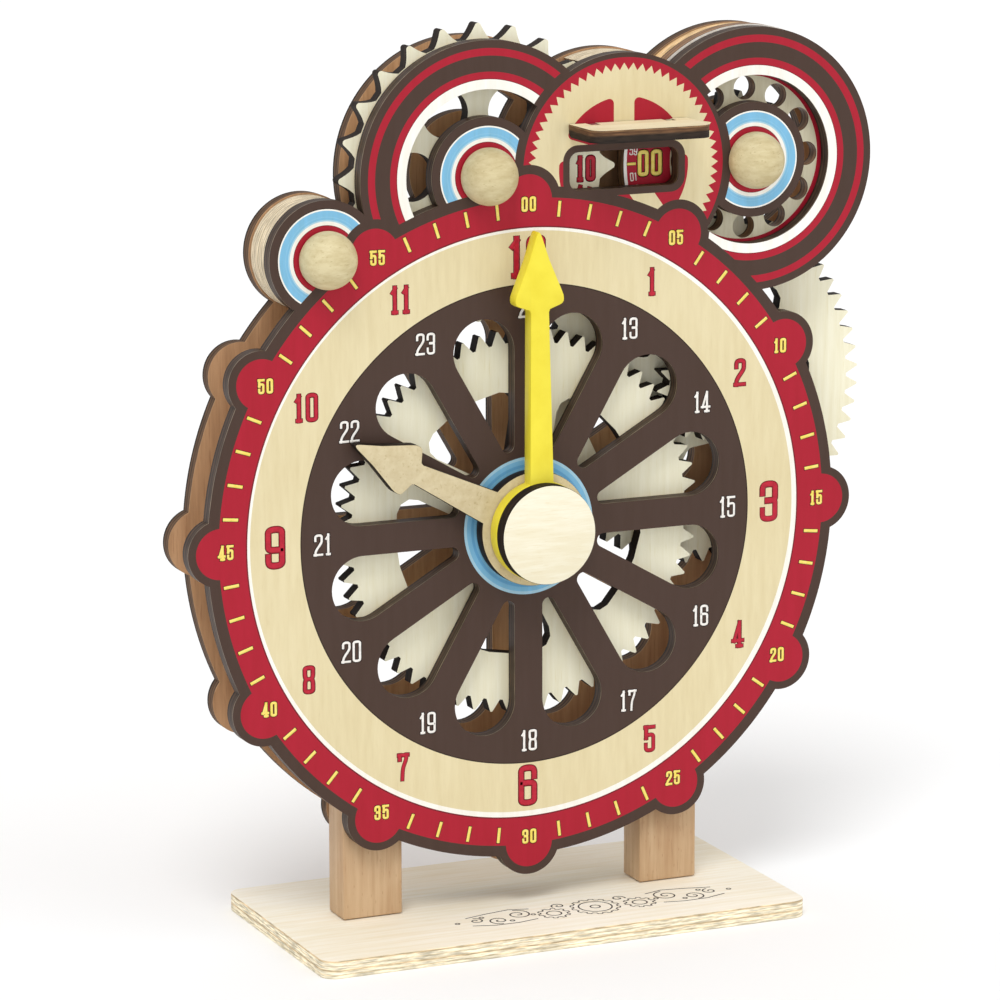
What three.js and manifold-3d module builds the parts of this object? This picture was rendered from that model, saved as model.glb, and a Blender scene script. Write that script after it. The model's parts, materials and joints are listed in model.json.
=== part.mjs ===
// A wooden geared teaching clock on a stand, with a digital time window above its dial.
// Two laser-cut plywood plates hold a gear train between them, and two square legs stand them on a base.
// Millimetres. +Z is up, the dial faces -Y, and the origin is under the middle of the base.
import * as THREE from "three";
import { mergeVertices } from "three/addons/utils/BufferGeometryUtils.js";
import Module from "manifold-3d";

// ---- Driving dimensions -------------------------------------------------------------------------
const SHEET = 5; // plywood of the two plates and the hub cap
const GEAR_THICKNESS = 4.8;
const FIT = 0.25; // gap all round a glued or pressed joint
const RUN = 0.4; // gap all round a shaft that turns in its bore
const FACE_GAP = 0.3; // gap between two faces that rest on each other
const HAND_PLAY = 0.6; // gap behind each hand and each knob
const FRONT_PLAY = 1.4; // gap between the front plate and the wheels behind it
const SIDE_PLAY = 0.8; // gap between the two layers of wheels
const REAR_PLAY = 1; // gap between the rear wheels and the rear plate
const PLATE_GAP = FRONT_PLAY + 2 * GEAR_THICKNESS + SIDE_PLAY + REAR_PLAY;

const BASE = { width: 166, depth: 86, thickness: 5.8, corner: 5 };
const PLATE_FACE_Y = -10; // dial side of the front plate, measured from the middle of the base
const DIAL_HEIGHT = 123; // dial centre above the top of the base
const LEG = { width: 20, spacing: 103, height: DIAL_HEIGHT - 72 };

// Outline of both plates: the dial with its lobes, and the discs that rise above it.
const DIAL_RADIUS = 107;
const LOBE = { count: 12, radius: 10.5, circle: 102.9 };
const WHEEL_RADIUS = 41.8; // plate discs over the star wheel and the minute disc
const DISPLAY = { x: 32.6, z: 111.3, radius: 35.8 };
const STAR_AXIS = { x: -14.1, z: 111.2 };
const DISC_AXIS = { x: 77.6, z: 111.2 };
const SETTING_AXIS = { x: -67.6, z: 88.6 };
const SETTING_RADIUS = 18.2;

// Openings in the plates.
const SPOKE_WIDTH = 9.4; // plate left between two drop-shaped openings
const DROP = { count: 12, inner: 24.6, outer: 68.5 };
const RING_OPENING = { inner: 18.2, outer: 26.75 };
const DISPLAY_WINDOW = { x: 32.75, z: 110.8, width: 37.5, height: 12, corner: 3 };

// Gear train. Every gear has the same module, so the train closes on one centre distance.
const MODULE = 1.865;
const PRESSURE_ANGLE = THREE.MathUtils.degToRad(28);
const ADDENDUM = 0.96; // in modules
const DEDENDUM = 1.2; // in modules
const TOOTH_SLACK = 0.3; // taken off the thickness of every tooth
const TEETH = { hourWheel: 64, transferPinion: 16, transferWheel: 60, minutePinion: 20 };
const WHEEL_SPOKES = { count: 5, width: 14, hub: 20, fillet: 5 };
const HOUR_WHEEL_RIM = 42.5; // inner radius of the rim
const TRANSFER_WHEEL_RIM = 40.5;
const HOUR_WHEEL_TURN = THREE.MathUtils.degToRad(86.1); // direction of one of its teeth
const TRANSFER_WHEEL_TURN = THREE.MathUtils.degToRad(86.55);
const HOUR_SPOKE_ANGLE = 9; // degrees clockwise from the top
const TRANSFER_SPOKE_ANGLE = -8;

// Star wheel that carries the hour numbers, and the small wheel that turns it.
const STAR = { teeth: 24, tip: 46.5, root: 41.6, toothBase: 8.2, toothTip: 0.8 };
const STAR_HOLES = { count: 6, radius: 7.6, circle: 22 };
const SETTING_WHEEL = { teeth: 8, tip: 13.8, root: 10.4, toothBase: 4, toothTip: 0.8 };

const MINUTE_DISC_RADIUS = 42.1;
const MINUTE_DISC_HOLES = { count: 12, radius: 3.8, circle: 22 };

// Shafts, hub, hands and knobs.
const SHAFT_RADIUS = 3;
const SLEEVE_WALL = 1.6;
const COLLAR = { radius: 6, thickness: 4 };
const KNOB = { radius: 9, centre: 2.2, socket: 6 };
const SOCKET_DEPTH = 3; // blind holes for the minute arbor in the hub cap and for the transfer axle
const HUB_CAP_RADIUS = 15.7;
const HAND_THICKNESS = 4.8;
const HOUR_HAND = { boss: 18.2, length: 68, headBase: 44.3, shoulder: 47.5, head: 8.1, stem: [5.4, 3.3] };
const MINUTE_HAND = { boss: 15.8, length: 94.3, headBase: 69.2, shoulder: 72.3, head: 8.2, stem: [4, 3.1] };
// To the left of twelve o'clock. The hands stand at ten o'clock and were pressed on a little askew.
const HOUR_HAND_ANGLE = THREE.MathUtils.degToRad(62.6);
const MINUTE_HAND_ANGLE = THREE.MathUtils.degToRad(0.7);

// Flap over the display window, standing open.
const FLAP = { width: 40.5, length: 17.5, thickness: 4, corner: 4.5, notch: 3.2, eyeSpacing: 26 };
const FLAP_X = DISPLAY_WINDOW.x + 1.1; // hung a little to the right of its window
const FLAP_AXIS_Z = 123.7; // above the dial centre
const FLAP_PIN = { radius: 0.75, bore: 1.1, length: 34 };
const EYE = { width: 2, radius: 2.1, shank: 0.9, depth: 4 };

const SPACER_WALL = 3; // of the ring spacer round the setting wheel
const SPACER_INSET = 0.5; // spacers stop this far inside the edge of the plates
const GUARD_WIDTH = 5.5;
const SCREW = { head: 3.2, headHeight: 1.8, shank: 1.5, length: 16, point: 2 };

const ARC_STEP = 0.3; // largest distance between a circle and its sides
const BORE_SIDES = 16; // shafts and bores share one count, so that their sides stay parallel

// ---- Places worked out from the driving dimensions ------------------------------------------------
const REAR_PLATE_Y = SHEET + PLATE_GAP;
const LAYER_1 = SHEET + FRONT_PLAY; // front face of the wheels next to the front plate
const LAYER_2 = LAYER_1 + GEAR_THICKNESS + SIDE_PLAY;
const BACK_Y = REAR_PLATE_Y + SHEET;
const HOUR_HAND_Y = -HAND_PLAY - HAND_THICKNESS;
const MINUTE_HAND_Y = HOUR_HAND_Y - HAND_PLAY - HAND_THICKNESS;
const HUB_CAP_Y = MINUTE_HAND_Y - FACE_GAP - SHEET;
const COLLAR_Y = BACK_Y + RUN;
const SHAFT_END_Y = COLLAR_Y + COLLAR.thickness;
const KNOB_SHAFT_FRONT = -HAND_PLAY - KNOB.socket;
const SLEEVE_RADIUS = SHAFT_RADIUS + RUN + SLEEVE_WALL;
const pitchRadius = (teeth) => (MODULE * teeth) / 2;
const gearSpacing = pitchRadius(TEETH.hourWheel + TEETH.transferPinion);
const discSpan = Math.hypot(DISC_AXIS.x, DISC_AXIS.z);
const transferReach = Math.sqrt(gearSpacing ** 2 - (discSpan / 2) ** 2);
// The transfer wheel stands one gear spacing from both the dial centre and the minute disc.
const TRANSFER_AXIS = {
  x: DISC_AXIS.x / 2 + (transferReach * DISC_AXIS.z) / discSpan,
  z: DISC_AXIS.z / 2 - (transferReach * DISC_AXIS.x) / discSpan,
};

// ---- Solids ---------------------------------------------------------------------------------------
const wasm = await Module();
wasm.setup();

// A closed three.js geometry as a manifold-3d solid, without the slivers that a lathe leaves on its axis.
function toSolid(geometry) {
  const bare = new THREE.BufferGeometry();
  bare.setAttribute("position", geometry.getAttribute("position"));
  bare.setIndex(geometry.index);
  const merged = mergeVertices(bare, 1e-4);
  const index = merged.index.array;
  const faces = [];
  for (let i = 0; i < index.length; i += 3) {
    const [a, b, c] = [index[i], index[i + 1], index[i + 2]];
    if (a !== b && b !== c && c !== a) faces.push(a, b, c);
  }
  const vertProperties = merged.attributes.position.array;
  return new wasm.Manifold(new wasm.Mesh({ numProp: 3, vertProperties, triVerts: new Uint32Array(faces) }));
}

// A manifold-3d solid as a three.js geometry.
function toGeometry(solid) {
  const mesh = solid.getMesh();
  const geometry = new THREE.BufferGeometry();
  geometry.setAttribute("position", new THREE.BufferAttribute(mesh.vertProperties, 3));
  geometry.setIndex(new THREE.BufferAttribute(mesh.triVerts, 1));
  const flat = geometry.toNonIndexed();
  flat.computeVertexNormals();
  return flat;
}

const polar = (radius, angle) => new THREE.Vector2(radius * Math.cos(angle), radius * Math.sin(angle));

// Points of an arc about a centre; both ends are included.
function arc(centre, radius, from, to, sides) {
  const whole = Math.PI / Math.acos(1 - ARC_STEP / radius);
  const count = sides ?? Math.max(2, Math.ceil((whole * Math.abs(to - from)) / (2 * Math.PI)));
  const points = [];
  for (let i = 0; i <= count; i++) points.push(polar(radius, from + ((to - from) * i) / count).add(centre));
  return points;
}

function circle(x, z, radius, sides) {
  const whole = Math.max(12, 4 * Math.ceil(Math.PI / Math.acos(1 - ARC_STEP / radius) / 4));
  return arc(new THREE.Vector2(x, z), radius, 0, 2 * Math.PI, sides ?? whole).slice(0, -1);
}

// An outline in X and Z, given thickness along +Y from frontY.
function slab(outline, frontY, thickness, holes = []) {
  const shape = new THREE.Shape(outline);
  shape.holes = holes.map((hole) => new THREE.Path(hole));
  const geometry = new THREE.ExtrudeGeometry(shape, { depth: thickness, bevelEnabled: false });
  geometry.rotateX(Math.PI / 2);
  geometry.translate(0, frontY + thickness, 0);
  return toSolid(geometry);
}

const disc = (axis, radius, frontY, thickness, sides) =>
  slab(circle(axis.x, axis.z, radius, sides), frontY, thickness);

// A cut that goes right through a slab and past both of its faces.
const through = (outline, frontY, thickness) => slab(outline, frontY - 1, thickness + 2);

function union(solids) {
  return solids.reduce((whole, next) => whole.add(next));
}

function roundedRectangle(x, z, width, height, radius) {
  const [w, h] = [width / 2 - radius, height / 2 - radius];
  return [[w, h, 0], [-w, h, 1], [-w, -h, 2], [w, -h, 3]].flatMap(([dx, dz, quarter]) => {
    const start = (quarter * Math.PI) / 2;
    return arc(new THREE.Vector2(x + dx, z + dz), radius, start, start + Math.PI / 2, 3);
  });
}

// A solid of revolution about the Y axis from [radius, y] pairs that start and end on the axis.
function turned(profile, sides = 16) {
  const points = profile.map(([radius, y]) => new THREE.Vector2(radius, y));
  return toSolid(new THREE.LatheGeometry(points, sides));
}

// ---- Gears ------------------------------------------------------------------------------------------
const involute = (angle) => Math.tan(angle) - angle;

// Involute outline about the origin, with the middle of one tooth in the direction `turn`.
function gearOutline(teeth, turn) {
  const pitch = pitchRadius(teeth);
  const base = pitch * Math.cos(PRESSURE_ANGLE);
  const tip = pitch + ADDENDUM * MODULE;
  const root = pitch - DEDENDUM * MODULE;
  const start = Math.max(root, base * 1.002);
  const halfTooth = (radius) =>
    Math.PI / (2 * teeth) +
    involute(PRESSURE_ANGLE) -
    involute(Math.acos(base / radius)) -
    TOOTH_SLACK / (2 * pitch);
  const steps = [start, tip].map((radius) => [radius, halfTooth(radius)]);
  if (root < start) steps.unshift([root, halfTooth(start)]);
  const points = [];
  for (let i = 0; i < teeth; i++) {
    const middle = turn + (2 * Math.PI * i) / teeth;
    for (const [radius, half] of steps) points.push(polar(radius, middle - half));
    for (const [radius, half] of [...steps].reverse()) points.push(polar(radius, middle + half));
  }
  return points;
}

// Tooth direction of a gear that meshes with the first one and lies in the direction `bearing` from it.
function meshTurn(turn, teeth, otherTeeth, bearing) {
  return bearing + Math.PI - ((turn - bearing) * teeth + Math.PI) / otherTeeth;
}

const bearingTo = (from, to) => Math.atan2(to.z - from.z, to.x - from.x);

// Opening between two straight spokes, with rounded corners; the first spoke lies in the direction 0.
function spokeOpening(outer, inner, half, pitch, fillet) {
  const outerAngle = Math.asin((half + fillet) / (outer - fillet));
  const innerFillet = fillet / 2;
  const innerAngle = Math.asin((half + innerFillet) / (inner + innerFillet));
  const [outerCentre, innerCentre] = [outer - fillet, inner + innerFillet];
  const [outerEnd, innerEnd] = [pitch - outerAngle, pitch - innerAngle];
  const right = Math.PI / 2;
  return [
    ...arc(polar(outerCentre, outerAngle), fillet, -right, outerAngle, 3),
    ...arc(new THREE.Vector2(), outer, outerAngle, outerEnd).slice(1, -1),
    ...arc(polar(outerCentre, outerEnd), fillet, outerEnd, pitch + right, 3),
    ...arc(polar(innerCentre, innerEnd), innerFillet, pitch + right, innerEnd + Math.PI, 2),
    ...arc(polar(innerCentre, innerAngle), innerFillet, innerAngle + Math.PI, 3 * right, 2),
  ];
}

const turnedOutline = (outline, angle) =>
  outline.map((point) => point.clone().rotateAround(new THREE.Vector2(), angle));

// A spoked wheel about the origin, cut from a toothed outline.
function spokedGear(toothed, rim, spokeTurn, bore, frontY) {
  const pitch = (2 * Math.PI) / WHEEL_SPOKES.count;
  const { width, hub, fillet } = WHEEL_SPOKES;
  const opening = spokeOpening(rim, hub, width / 2, pitch, fillet);
  const holes = [circle(0, 0, bore)];
  for (let i = 0; i < WHEEL_SPOKES.count; i++) holes.push(turnedOutline(opening, spokeTurn + i * pitch));
  return slab(toothed, frontY, GEAR_THICKNESS, holes);
}

// A wheel with few, separate, pointed teeth; one tooth points in the direction `turn`.
function pointedWheel({ teeth, tip, root, toothBase, toothTip }, turn) {
  const points = [];
  const steps = [[root, toothBase / 2], [tip, toothTip / 2]];
  for (let i = 0; i < teeth; i++) {
    const middle = turn + (2 * Math.PI * i) / teeth;
    const sides = steps.map(([radius, half]) => [radius, Math.asin(half / radius)]);
    for (const [radius, angle] of sides) points.push(polar(radius, middle - angle));
    for (const [radius, angle] of [...sides].reverse()) points.push(polar(radius, middle + angle));
    points.push(polar(root, middle + Math.PI / teeth));
  }
  return points;
}

// ---- Plates -------------------------------------------------------------------------------------------
const clockwise = (degrees) => Math.PI / 2 - THREE.MathUtils.degToRad(degrees);
const ORIGIN = { x: 0, z: 0 };

function lobeCentre(i) {
  const point = polar(LOBE.circle, clockwise((360 * i) / LOBE.count));
  return { x: point.x, z: point.y };
}

const lobes = (frontY, thickness) =>
  Array.from({ length: LOBE.count }, (_, i) => disc(lobeCentre(i), LOBE.radius, frontY, thickness));

// Drop-shaped opening between two spokes; its long sides run parallel to the spokes beside it.
function dropOpening(i) {
  const half = Math.PI / DROP.count;
  const inset = SPOKE_WIDTH / 2;
  const big = (DROP.outer + inset) / (1 + Math.sin(half));
  const small = (DROP.inner - inset) / (1 - Math.sin(half));
  const side = Math.PI / 2 + half;
  const outline = [
    ...arc(polar(big, 0), big * Math.sin(half) - inset, -side, side, 8),
    ...arc(polar(small, 0), small * Math.sin(half) - inset, side, 2 * Math.PI - side, 3),
  ];
  return turnedOutline(outline, clockwise((360 * (i + 0.5)) / DROP.count));
}

// One plate without its bores: outline, drop-shaped openings and the ring openings of the two upper discs.
function clockPlate(frontY) {
  const dial = union([disc(ORIGIN, DIAL_RADIUS, frontY, SHEET), ...lobes(frontY, SHEET)]);
  const display = disc(DISPLAY, DISPLAY.radius, frontY, SHEET);
  const core = dial.add(display);
  let plate = core.add(disc(SETTING_AXIS, SETTING_RADIUS, frontY, SHEET));
  for (const axis of [STAR_AXIS, DISC_AXIS]) {
    const opening = disc(axis, RING_OPENING.outer, frontY - 1, SHEET + 2)
      .subtract(disc(axis, RING_OPENING.inner, frontY - 2, SHEET + 4))
      .subtract(core);
    plate = plate.add(disc(axis, WHEEL_RADIUS, frontY, SHEET)).subtract(opening);
  }
  for (let i = 0; i < DROP.count; i++) plate = plate.subtract(through(dropOpening(i), frontY, SHEET));
  return plate;
}

const bore = (axis, radius, frontY, thickness) =>
  through(circle(axis.x, axis.z, radius, BORE_SIDES), frontY, thickness);
const PLATE_BORE = SHAFT_RADIUS + RUN;
const knobAxes = [STAR_AXIS, DISC_AXIS, SETTING_AXIS];
const eyeOffsets = [-FLAP.eyeSpacing / 2, FLAP.eyeSpacing / 2];
const eyeX = (offset) => FLAP_X + offset;

// Screws from behind: two into each leg, two into the crown spacer.
const legX = (side) => (side * LEG.spacing) / 2;
const LEG_TOP = LEG.height - DIAL_HEIGHT; // measured from the dial centre
const LEG_SCREW_DROPS = [8, 24]; // below the top of the leg
const CROWN_FLOOR = DISPLAY.z + 18;
const crownScrew = { x: DISPLAY.x, z: CROWN_FLOOR + 10 };
const legScrews = [-1, 1].flatMap((side) =>
  LEG_SCREW_DROPS.map((drop) => ({ x: legX(side), z: LEG_TOP - drop })));
const plateScrews = [...legScrews, crownScrew];

function frontPlate() {
  const { x, z, width, height, corner } = DISPLAY_WINDOW;
  const window = through(roundedRectangle(x, z, width, height, corner), 0, SHEET);
  let plate = clockPlate(0).subtract(window).subtract(bore(ORIGIN, SLEEVE_RADIUS + RUN, 0, SHEET));
  for (const axis of knobAxes) plate = plate.subtract(bore(axis, PLATE_BORE, 0, SHEET));
  const socket = disc(TRANSFER_AXIS, SHAFT_RADIUS + FIT, SHEET - SOCKET_DEPTH, SHEET, BORE_SIDES);
  plate = plate.subtract(socket);
  for (const offset of eyeOffsets) {
    const eye = { x: eyeX(offset), z: FLAP_AXIS_Z };
    plate = plate.subtract(disc(eye, EYE.shank + FIT, -1, EYE.depth + FIT + 1, 8));
  }
  return plate;
}

function rearPlate() {
  const holes = [
    ...[ORIGIN, ...knobAxes].map((axis) => [axis, PLATE_BORE]),
    [TRANSFER_AXIS, SHAFT_RADIUS + FIT],
    ...plateScrews.map((axis) => [axis, SCREW.shank + FIT]),
  ];
  let plate = clockPlate(REAR_PLATE_Y);
  for (const [axis, radius] of holes) plate = plate.subtract(bore(axis, radius, REAR_PLATE_Y, SHEET));
  return plate;
}

// ---- Spacers between the plates -------------------------------------------------------------------------
const STAR_CLEARANCE = STAR.tip + 1;
const DISC_CLEARANCE = MINUTE_DISC_RADIUS + 1;
const SPACER_PLY = (PLATE_GAP - 3 * FACE_GAP) / 2;
const spacerY = (ply) => SHEET + FACE_GAP + ply * (SPACER_PLY + FACE_GAP);

// C-shaped ring round the setting wheel, open where the star wheel's teeth come in.
function ringSpacer(ply) {
  const y = spacerY(ply);
  const outer = SETTING_RADIUS - SPACER_INSET;
  return disc(SETTING_AXIS, outer, y, SPACER_PLY)
    .subtract(disc(SETTING_AXIS, outer - SPACER_WALL, y - 1, SPACER_PLY + 2))
    .subtract(disc(STAR_AXIS, STAR_CLEARANCE, y - 1, SPACER_PLY + 2));
}

// Crown spacer: fills the plates' top between the star wheel and the minute disc.
function crownSpacer(ply) {
  const y = spacerY(ply);
  const radius = DISPLAY.radius - SPACER_INSET;
  return disc(DISPLAY, radius, y, SPACER_PLY)
    .trimByPlane([0, 0, 1], CROWN_FLOOR)
    .subtract(disc(STAR_AXIS, STAR_CLEARANCE, y - 1, SPACER_PLY + 2))
    .subtract(disc(DISC_AXIS, DISC_CLEARANCE, y - 1, SPACER_PLY + 2))
    .subtract(bore(crownScrew, SCREW.shank + FIT, y, SPACER_PLY));
}

// Curved strip on the rear plate that keeps the minute disc from tipping.
function discGuard() {
  const y = LAYER_2;
  const outer = MINUTE_DISC_RADIUS - SPACER_INSET;
  const [from, to] = [clockwise(70), clockwise(-50)];
  const centre = new THREE.Vector2(DISC_AXIS.x, DISC_AXIS.z);
  const outline = [...arc(centre, outer, from, to), ...arc(centre, outer - GUARD_WIDTH, to, from)];
  const strip = slab(outline, y, REAR_PLATE_Y - FACE_GAP - y);
  return strip.subtract(disc(STAR_AXIS, STAR_CLEARANCE, y - 1, PLATE_GAP));
}

// ---- Base and legs ------------------------------------------------------------------------------
// An outline in X and Y, given thickness along +Z.
function block(outline, thickness) {
  const shape = new THREE.Shape(outline);
  return toSolid(new THREE.ExtrudeGeometry(shape, { depth: thickness, bevelEnabled: false }));
}

// A round hole up from below the stand, ending at a height.
function drilled({ x, y }, radius, height) {
  return block(circle(x, y, radius, 12), height + 1).translate([0, 0, -1]);
}

function standBase() {
  let base = block(roundedRectangle(0, 0, BASE.width, BASE.depth, BASE.corner), BASE.thickness);
  for (const at of baseScrews()) {
    const recess = drilled(at, SCREW.head + FIT, SCREW.headHeight + FIT);
    base = base.subtract(recess).subtract(drilled(at, SCREW.shank + FIT, BASE.thickness + 1));
  }
  return base;
}

const LEG_Y = PLATE_FACE_Y + SHEET + PLATE_GAP / 2;
const LEG_DEPTH = PLATE_GAP - 2 * FACE_GAP;
const BASE_SCREW_SPREAD = 9;

function baseScrews() {
  return [-1, 1].flatMap((side) =>
    [-1, 1].map((end) => ({ x: legX(side) + (end * BASE_SCREW_SPREAD) / 2, y: LEG_Y })));
}

// A leg about its own axis, standing on z = 0; its screw holes come from below and from behind.
function leg() {
  const height = LEG.height - FACE_GAP;
  let solid = toSolid(new THREE.BoxGeometry(LEG.width, LEG_DEPTH, height).translate(0, 0, height / 2));
  const depth = SCREW.length - BASE.thickness + SCREW.headHeight;
  for (const end of [-1, 1]) {
    const at = { x: (end * BASE_SCREW_SPREAD) / 2, y: 0 };
    solid = solid.subtract(drilled(at, SCREW.shank + FIT, depth));
  }
  const reach = SCREW.length - SHEET + 1;
  for (const drop of LEG_SCREW_DROPS) {
    const at = { x: 0, z: height - drop };
    solid = solid.subtract(disc(at, SCREW.shank + FIT, LEG_DEPTH / 2 - reach, reach + 1, 8));
  }
  return solid;
}

// ---- Turned and small pieces --------------------------------------------------------------------
const shaft = (fromY, toY, radius = SHAFT_RADIUS) => disc(ORIGIN, radius, fromY, toY - fromY, BORE_SIDES);

function ring(outer, inner, frontY, thickness) {
  return slab(circle(0, 0, outer, BORE_SIDES), frontY, thickness, [circle(0, 0, inner, BORE_SIDES)]);
}

// Collar on the back end of a shaft.
const collar = () => ring(COLLAR.radius, SHAFT_RADIUS + FIT, COLLAR_Y, COLLAR.thickness);

// Ball knob with a flat back and a blind socket for its shaft.
function knob() {
  const from = Math.asin((KNOB.centre - HAND_PLAY) / KNOB.radius);
  const [socket, socketEnd] = [SHAFT_RADIUS + FIT, KNOB_SHAFT_FRONT - FACE_GAP];
  const profile = [[0, socketEnd], [socket, socketEnd], [socket, -HAND_PLAY]];
  const steps = 6;
  for (let i = 0; i <= steps; i++) {
    const angle = from + ((-Math.PI / 2 - from) * i) / steps;
    const radius = i === steps ? 0 : KNOB.radius * Math.cos(angle);
    profile.push([radius, -KNOB.centre + KNOB.radius * Math.sin(angle)]);
  }
  return turned(profile.reverse(), BORE_SIDES);
}

// Screw along Y with its head behind the face at y = 0 and its point in front of it.
function screw() {
  const { head, headHeight, shank, length, point } = SCREW;
  const end = headHeight - length;
  const body = [[0, end], [shank, end + point], [shank, 0]];
  return turned([...body, [head, 0], [head * 0.8, headHeight], [0, headHeight]], 8);
}

// A hand with a round boss and an arrow head, pointing up.
function hand({ boss, length, headBase, shoulder, head, stem }, frontY, boreRadius) {
  const right = [
    [stem[0], boss * 0.6],
    [stem[1], headBase],
    [head * 0.86, shoulder - 0.7],
    [head, shoulder + 0.9],
    [head * 0.94, shoulder + 3],
    [head * 0.42, shoulder + (length - shoulder) * 0.6],
    [0.5, length - 0.5],
  ];
  const outline = [...right, ...[...right].reverse().map(([x, z]) => [-x, z])];
  const blade = slab(outline.map(([x, z]) => new THREE.Vector2(x, z)), frontY, HAND_THICKNESS);
  return disc(ORIGIN, boss, frontY, HAND_THICKNESS)
    .add(blade)
    .subtract(bore(ORIGIN, boreRadius, frontY, HAND_THICKNESS));
}

function hubCap() {
  const back = HUB_CAP_Y + SHEET;
  const [socket, socketEnd] = [SHAFT_RADIUS + FIT, back - SOCKET_DEPTH];
  const outside = [[0, HUB_CAP_Y], [HUB_CAP_RADIUS, HUB_CAP_Y], [HUB_CAP_RADIUS, back]];
  return turned([...outside, [socket, back], [socket, socketEnd], [0, socketEnd]], 32);
}

// A wheel next to the front plate, with a circle of holes round its bore.
function holedWheel(outline, holes) {
  const cuts = [circle(0, 0, SHAFT_RADIUS + FIT, BORE_SIDES)];
  for (let i = 0; i < holes.count; i++) {
    const centre = polar(holes.circle, (2 * Math.PI * i) / holes.count);
    cuts.push(circle(centre.x, centre.y, holes.radius, 12));
  }
  return slab(outline, LAYER_1, GEAR_THICKNESS, cuts);
}

// ---- Flap ---------------------------------------------------------------------------------------
const FLAP_AXIS_Y = -FACE_GAP - FLAP.thickness / 2;

// A cylinder along X about the flap's axis.
function cross(radius, from, to, sides = 12) {
  return block(circle(0, 0, radius, sides), to - from).rotate([0, 90, 0]).translate([from, 0, 0]);
}

// The flap about its axis, standing straight out; its lower rear edge is round, so that it can swing down.
function flap() {
  const { width, length, thickness, corner, notch } = FLAP;
  const half = width / 2;
  const rear = thickness / 2;
  const [cornerX, cornerY] = [half - corner, corner - length];
  const outline = [
    new THREE.Vector2(-half, rear),
    ...arc(new THREE.Vector2(-cornerX, cornerY), corner, Math.PI, 1.5 * Math.PI, 3),
    ...arc(new THREE.Vector2(cornerX, cornerY), corner, 1.5 * Math.PI, 2 * Math.PI, 3),
    new THREE.Vector2(half, rear),
  ];
  let solid = block(outline, thickness).translate([0, 0, -rear]);
  const side = rear + 1;
  const edge = toSolid(new THREE.BoxGeometry(width + 2, side, side).translate(0, side / 2, -side / 2));
  solid = solid.subtract(edge.subtract(cross(rear, -half - 2, half + 2, 24)));
  const gap = toSolid(new THREE.BoxGeometry(notch, 2 * EYE.radius + 2 * RUN + 1.4, thickness + 2));
  for (const offset of eyeOffsets) solid = solid.subtract(gap.translate([offset, 0, 0]));
  const boreHalf = FLAP_PIN.length / 2 + FACE_GAP;
  return solid.subtract(cross(FLAP_PIN.bore, -boreHalf, boreHalf));
}

// Eye that holds the flap's pin, with its shank in the front plate.
function eye() {
  const ring = cross(EYE.radius, -EYE.width / 2, EYE.width / 2);
  const stem = disc(ORIGIN, EYE.shank, 0, EYE.depth - FLAP_AXIS_Y, 8);
  return ring.add(stem).subtract(cross(FLAP_PIN.radius + FIT, -EYE.width, EYE.width));
}

// ---- Scene --------------------------------------------------------------------------------------
function wood(color, roughness = 0.7) {
  return new THREE.MeshStandardMaterial({ color, roughness, metalness: 0 });
}
const printed = wood(0x9c2d38, 0.55);
const stained = wood(0x9a7350);
const pale = wood(0xe6dcb4);
const beech = wood(0xcfae88);
const yellow = wood(0xf5e43c, 0.5);
const steel = new THREE.MeshStandardMaterial({ color: 0xb9bcc0, roughness: 0.35, metalness: 1 });

const clock = new THREE.Group();
const works = new THREE.Group(); // everything placed from the dial centre
works.position.set(0, PLATE_FACE_Y, BASE.thickness + DIAL_HEIGHT);
clock.add(works);

function groupAt({ x, z }, y = 0) {
  const group = new THREE.Group();
  group.position.set(x, y, z);
  works.add(group);
  return group;
}

function place(parent, name, solid, material) {
  const mesh = new THREE.Mesh(toGeometry(solid), material);
  mesh.name = name;
  parent.add(mesh);
  return mesh;
}

place(clock, "base_plate", standBase(), pale);
for (const [side, name] of [[-1, "left"], [1, "right"]]) {
  const mesh = place(clock, `${name}_leg`, leg(), beech);
  mesh.position.set(legX(side), LEG_Y, BASE.thickness + FACE_GAP);
}
baseScrews().forEach(({ x, y }, i) => {
  const mesh = place(clock, `base_screw_${i + 1}`, screw(), steel);
  mesh.rotation.x = -Math.PI / 2;
  mesh.position.set(x, y, SCREW.headHeight);
});

place(works, "front_plate", frontPlate(), printed);
place(works, "rear_plate", rearPlate(), stained);
for (const [ply, name] of [[0, "front"], [1, "rear"]]) {
  place(works, `ring_spacer_${name}`, ringSpacer(ply), pale);
  place(works, `crown_spacer_${name}`, crownSpacer(ply), pale);
}
place(works, "disc_guard", discGuard(), pale);
plateScrews.forEach((at, i) => place(groupAt(at, BACK_Y + FACE_GAP), `plate_screw_${i + 1}`, screw(), steel));
const transferAxle = shaft(SHEET - SOCKET_DEPTH + FACE_GAP, BACK_Y - FACE_GAP);
place(groupAt(TRANSFER_AXIS), "transfer_axle", transferAxle, beech);

const centre = groupAt(ORIGIN);
const hourBore = SLEEVE_RADIUS + FIT;
const hourOutline = gearOutline(TEETH.hourWheel, HOUR_WHEEL_TURN);
const hourWheel = spokedGear(hourOutline, HOUR_WHEEL_RIM, clockwise(HOUR_SPOKE_ANGLE), hourBore, LAYER_1);
const sleeveLength = LAYER_1 + GEAR_THICKNESS - HOUR_HAND_Y;
place(centre, "hour_wheel", hourWheel, pale);
place(centre, "hour_sleeve", ring(SLEEVE_RADIUS, SHAFT_RADIUS + RUN, HOUR_HAND_Y, sleeveLength), beech);
const hourHand = place(centre, "hour_hand", hand(HOUR_HAND, HOUR_HAND_Y, hourBore), pale);
hourHand.rotation.y = -HOUR_HAND_ANGLE;
const arborFront = HUB_CAP_Y + SHEET - SOCKET_DEPTH + FACE_GAP;
place(centre, "minute_arbor", shaft(arborFront, SHAFT_END_Y), beech);
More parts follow.
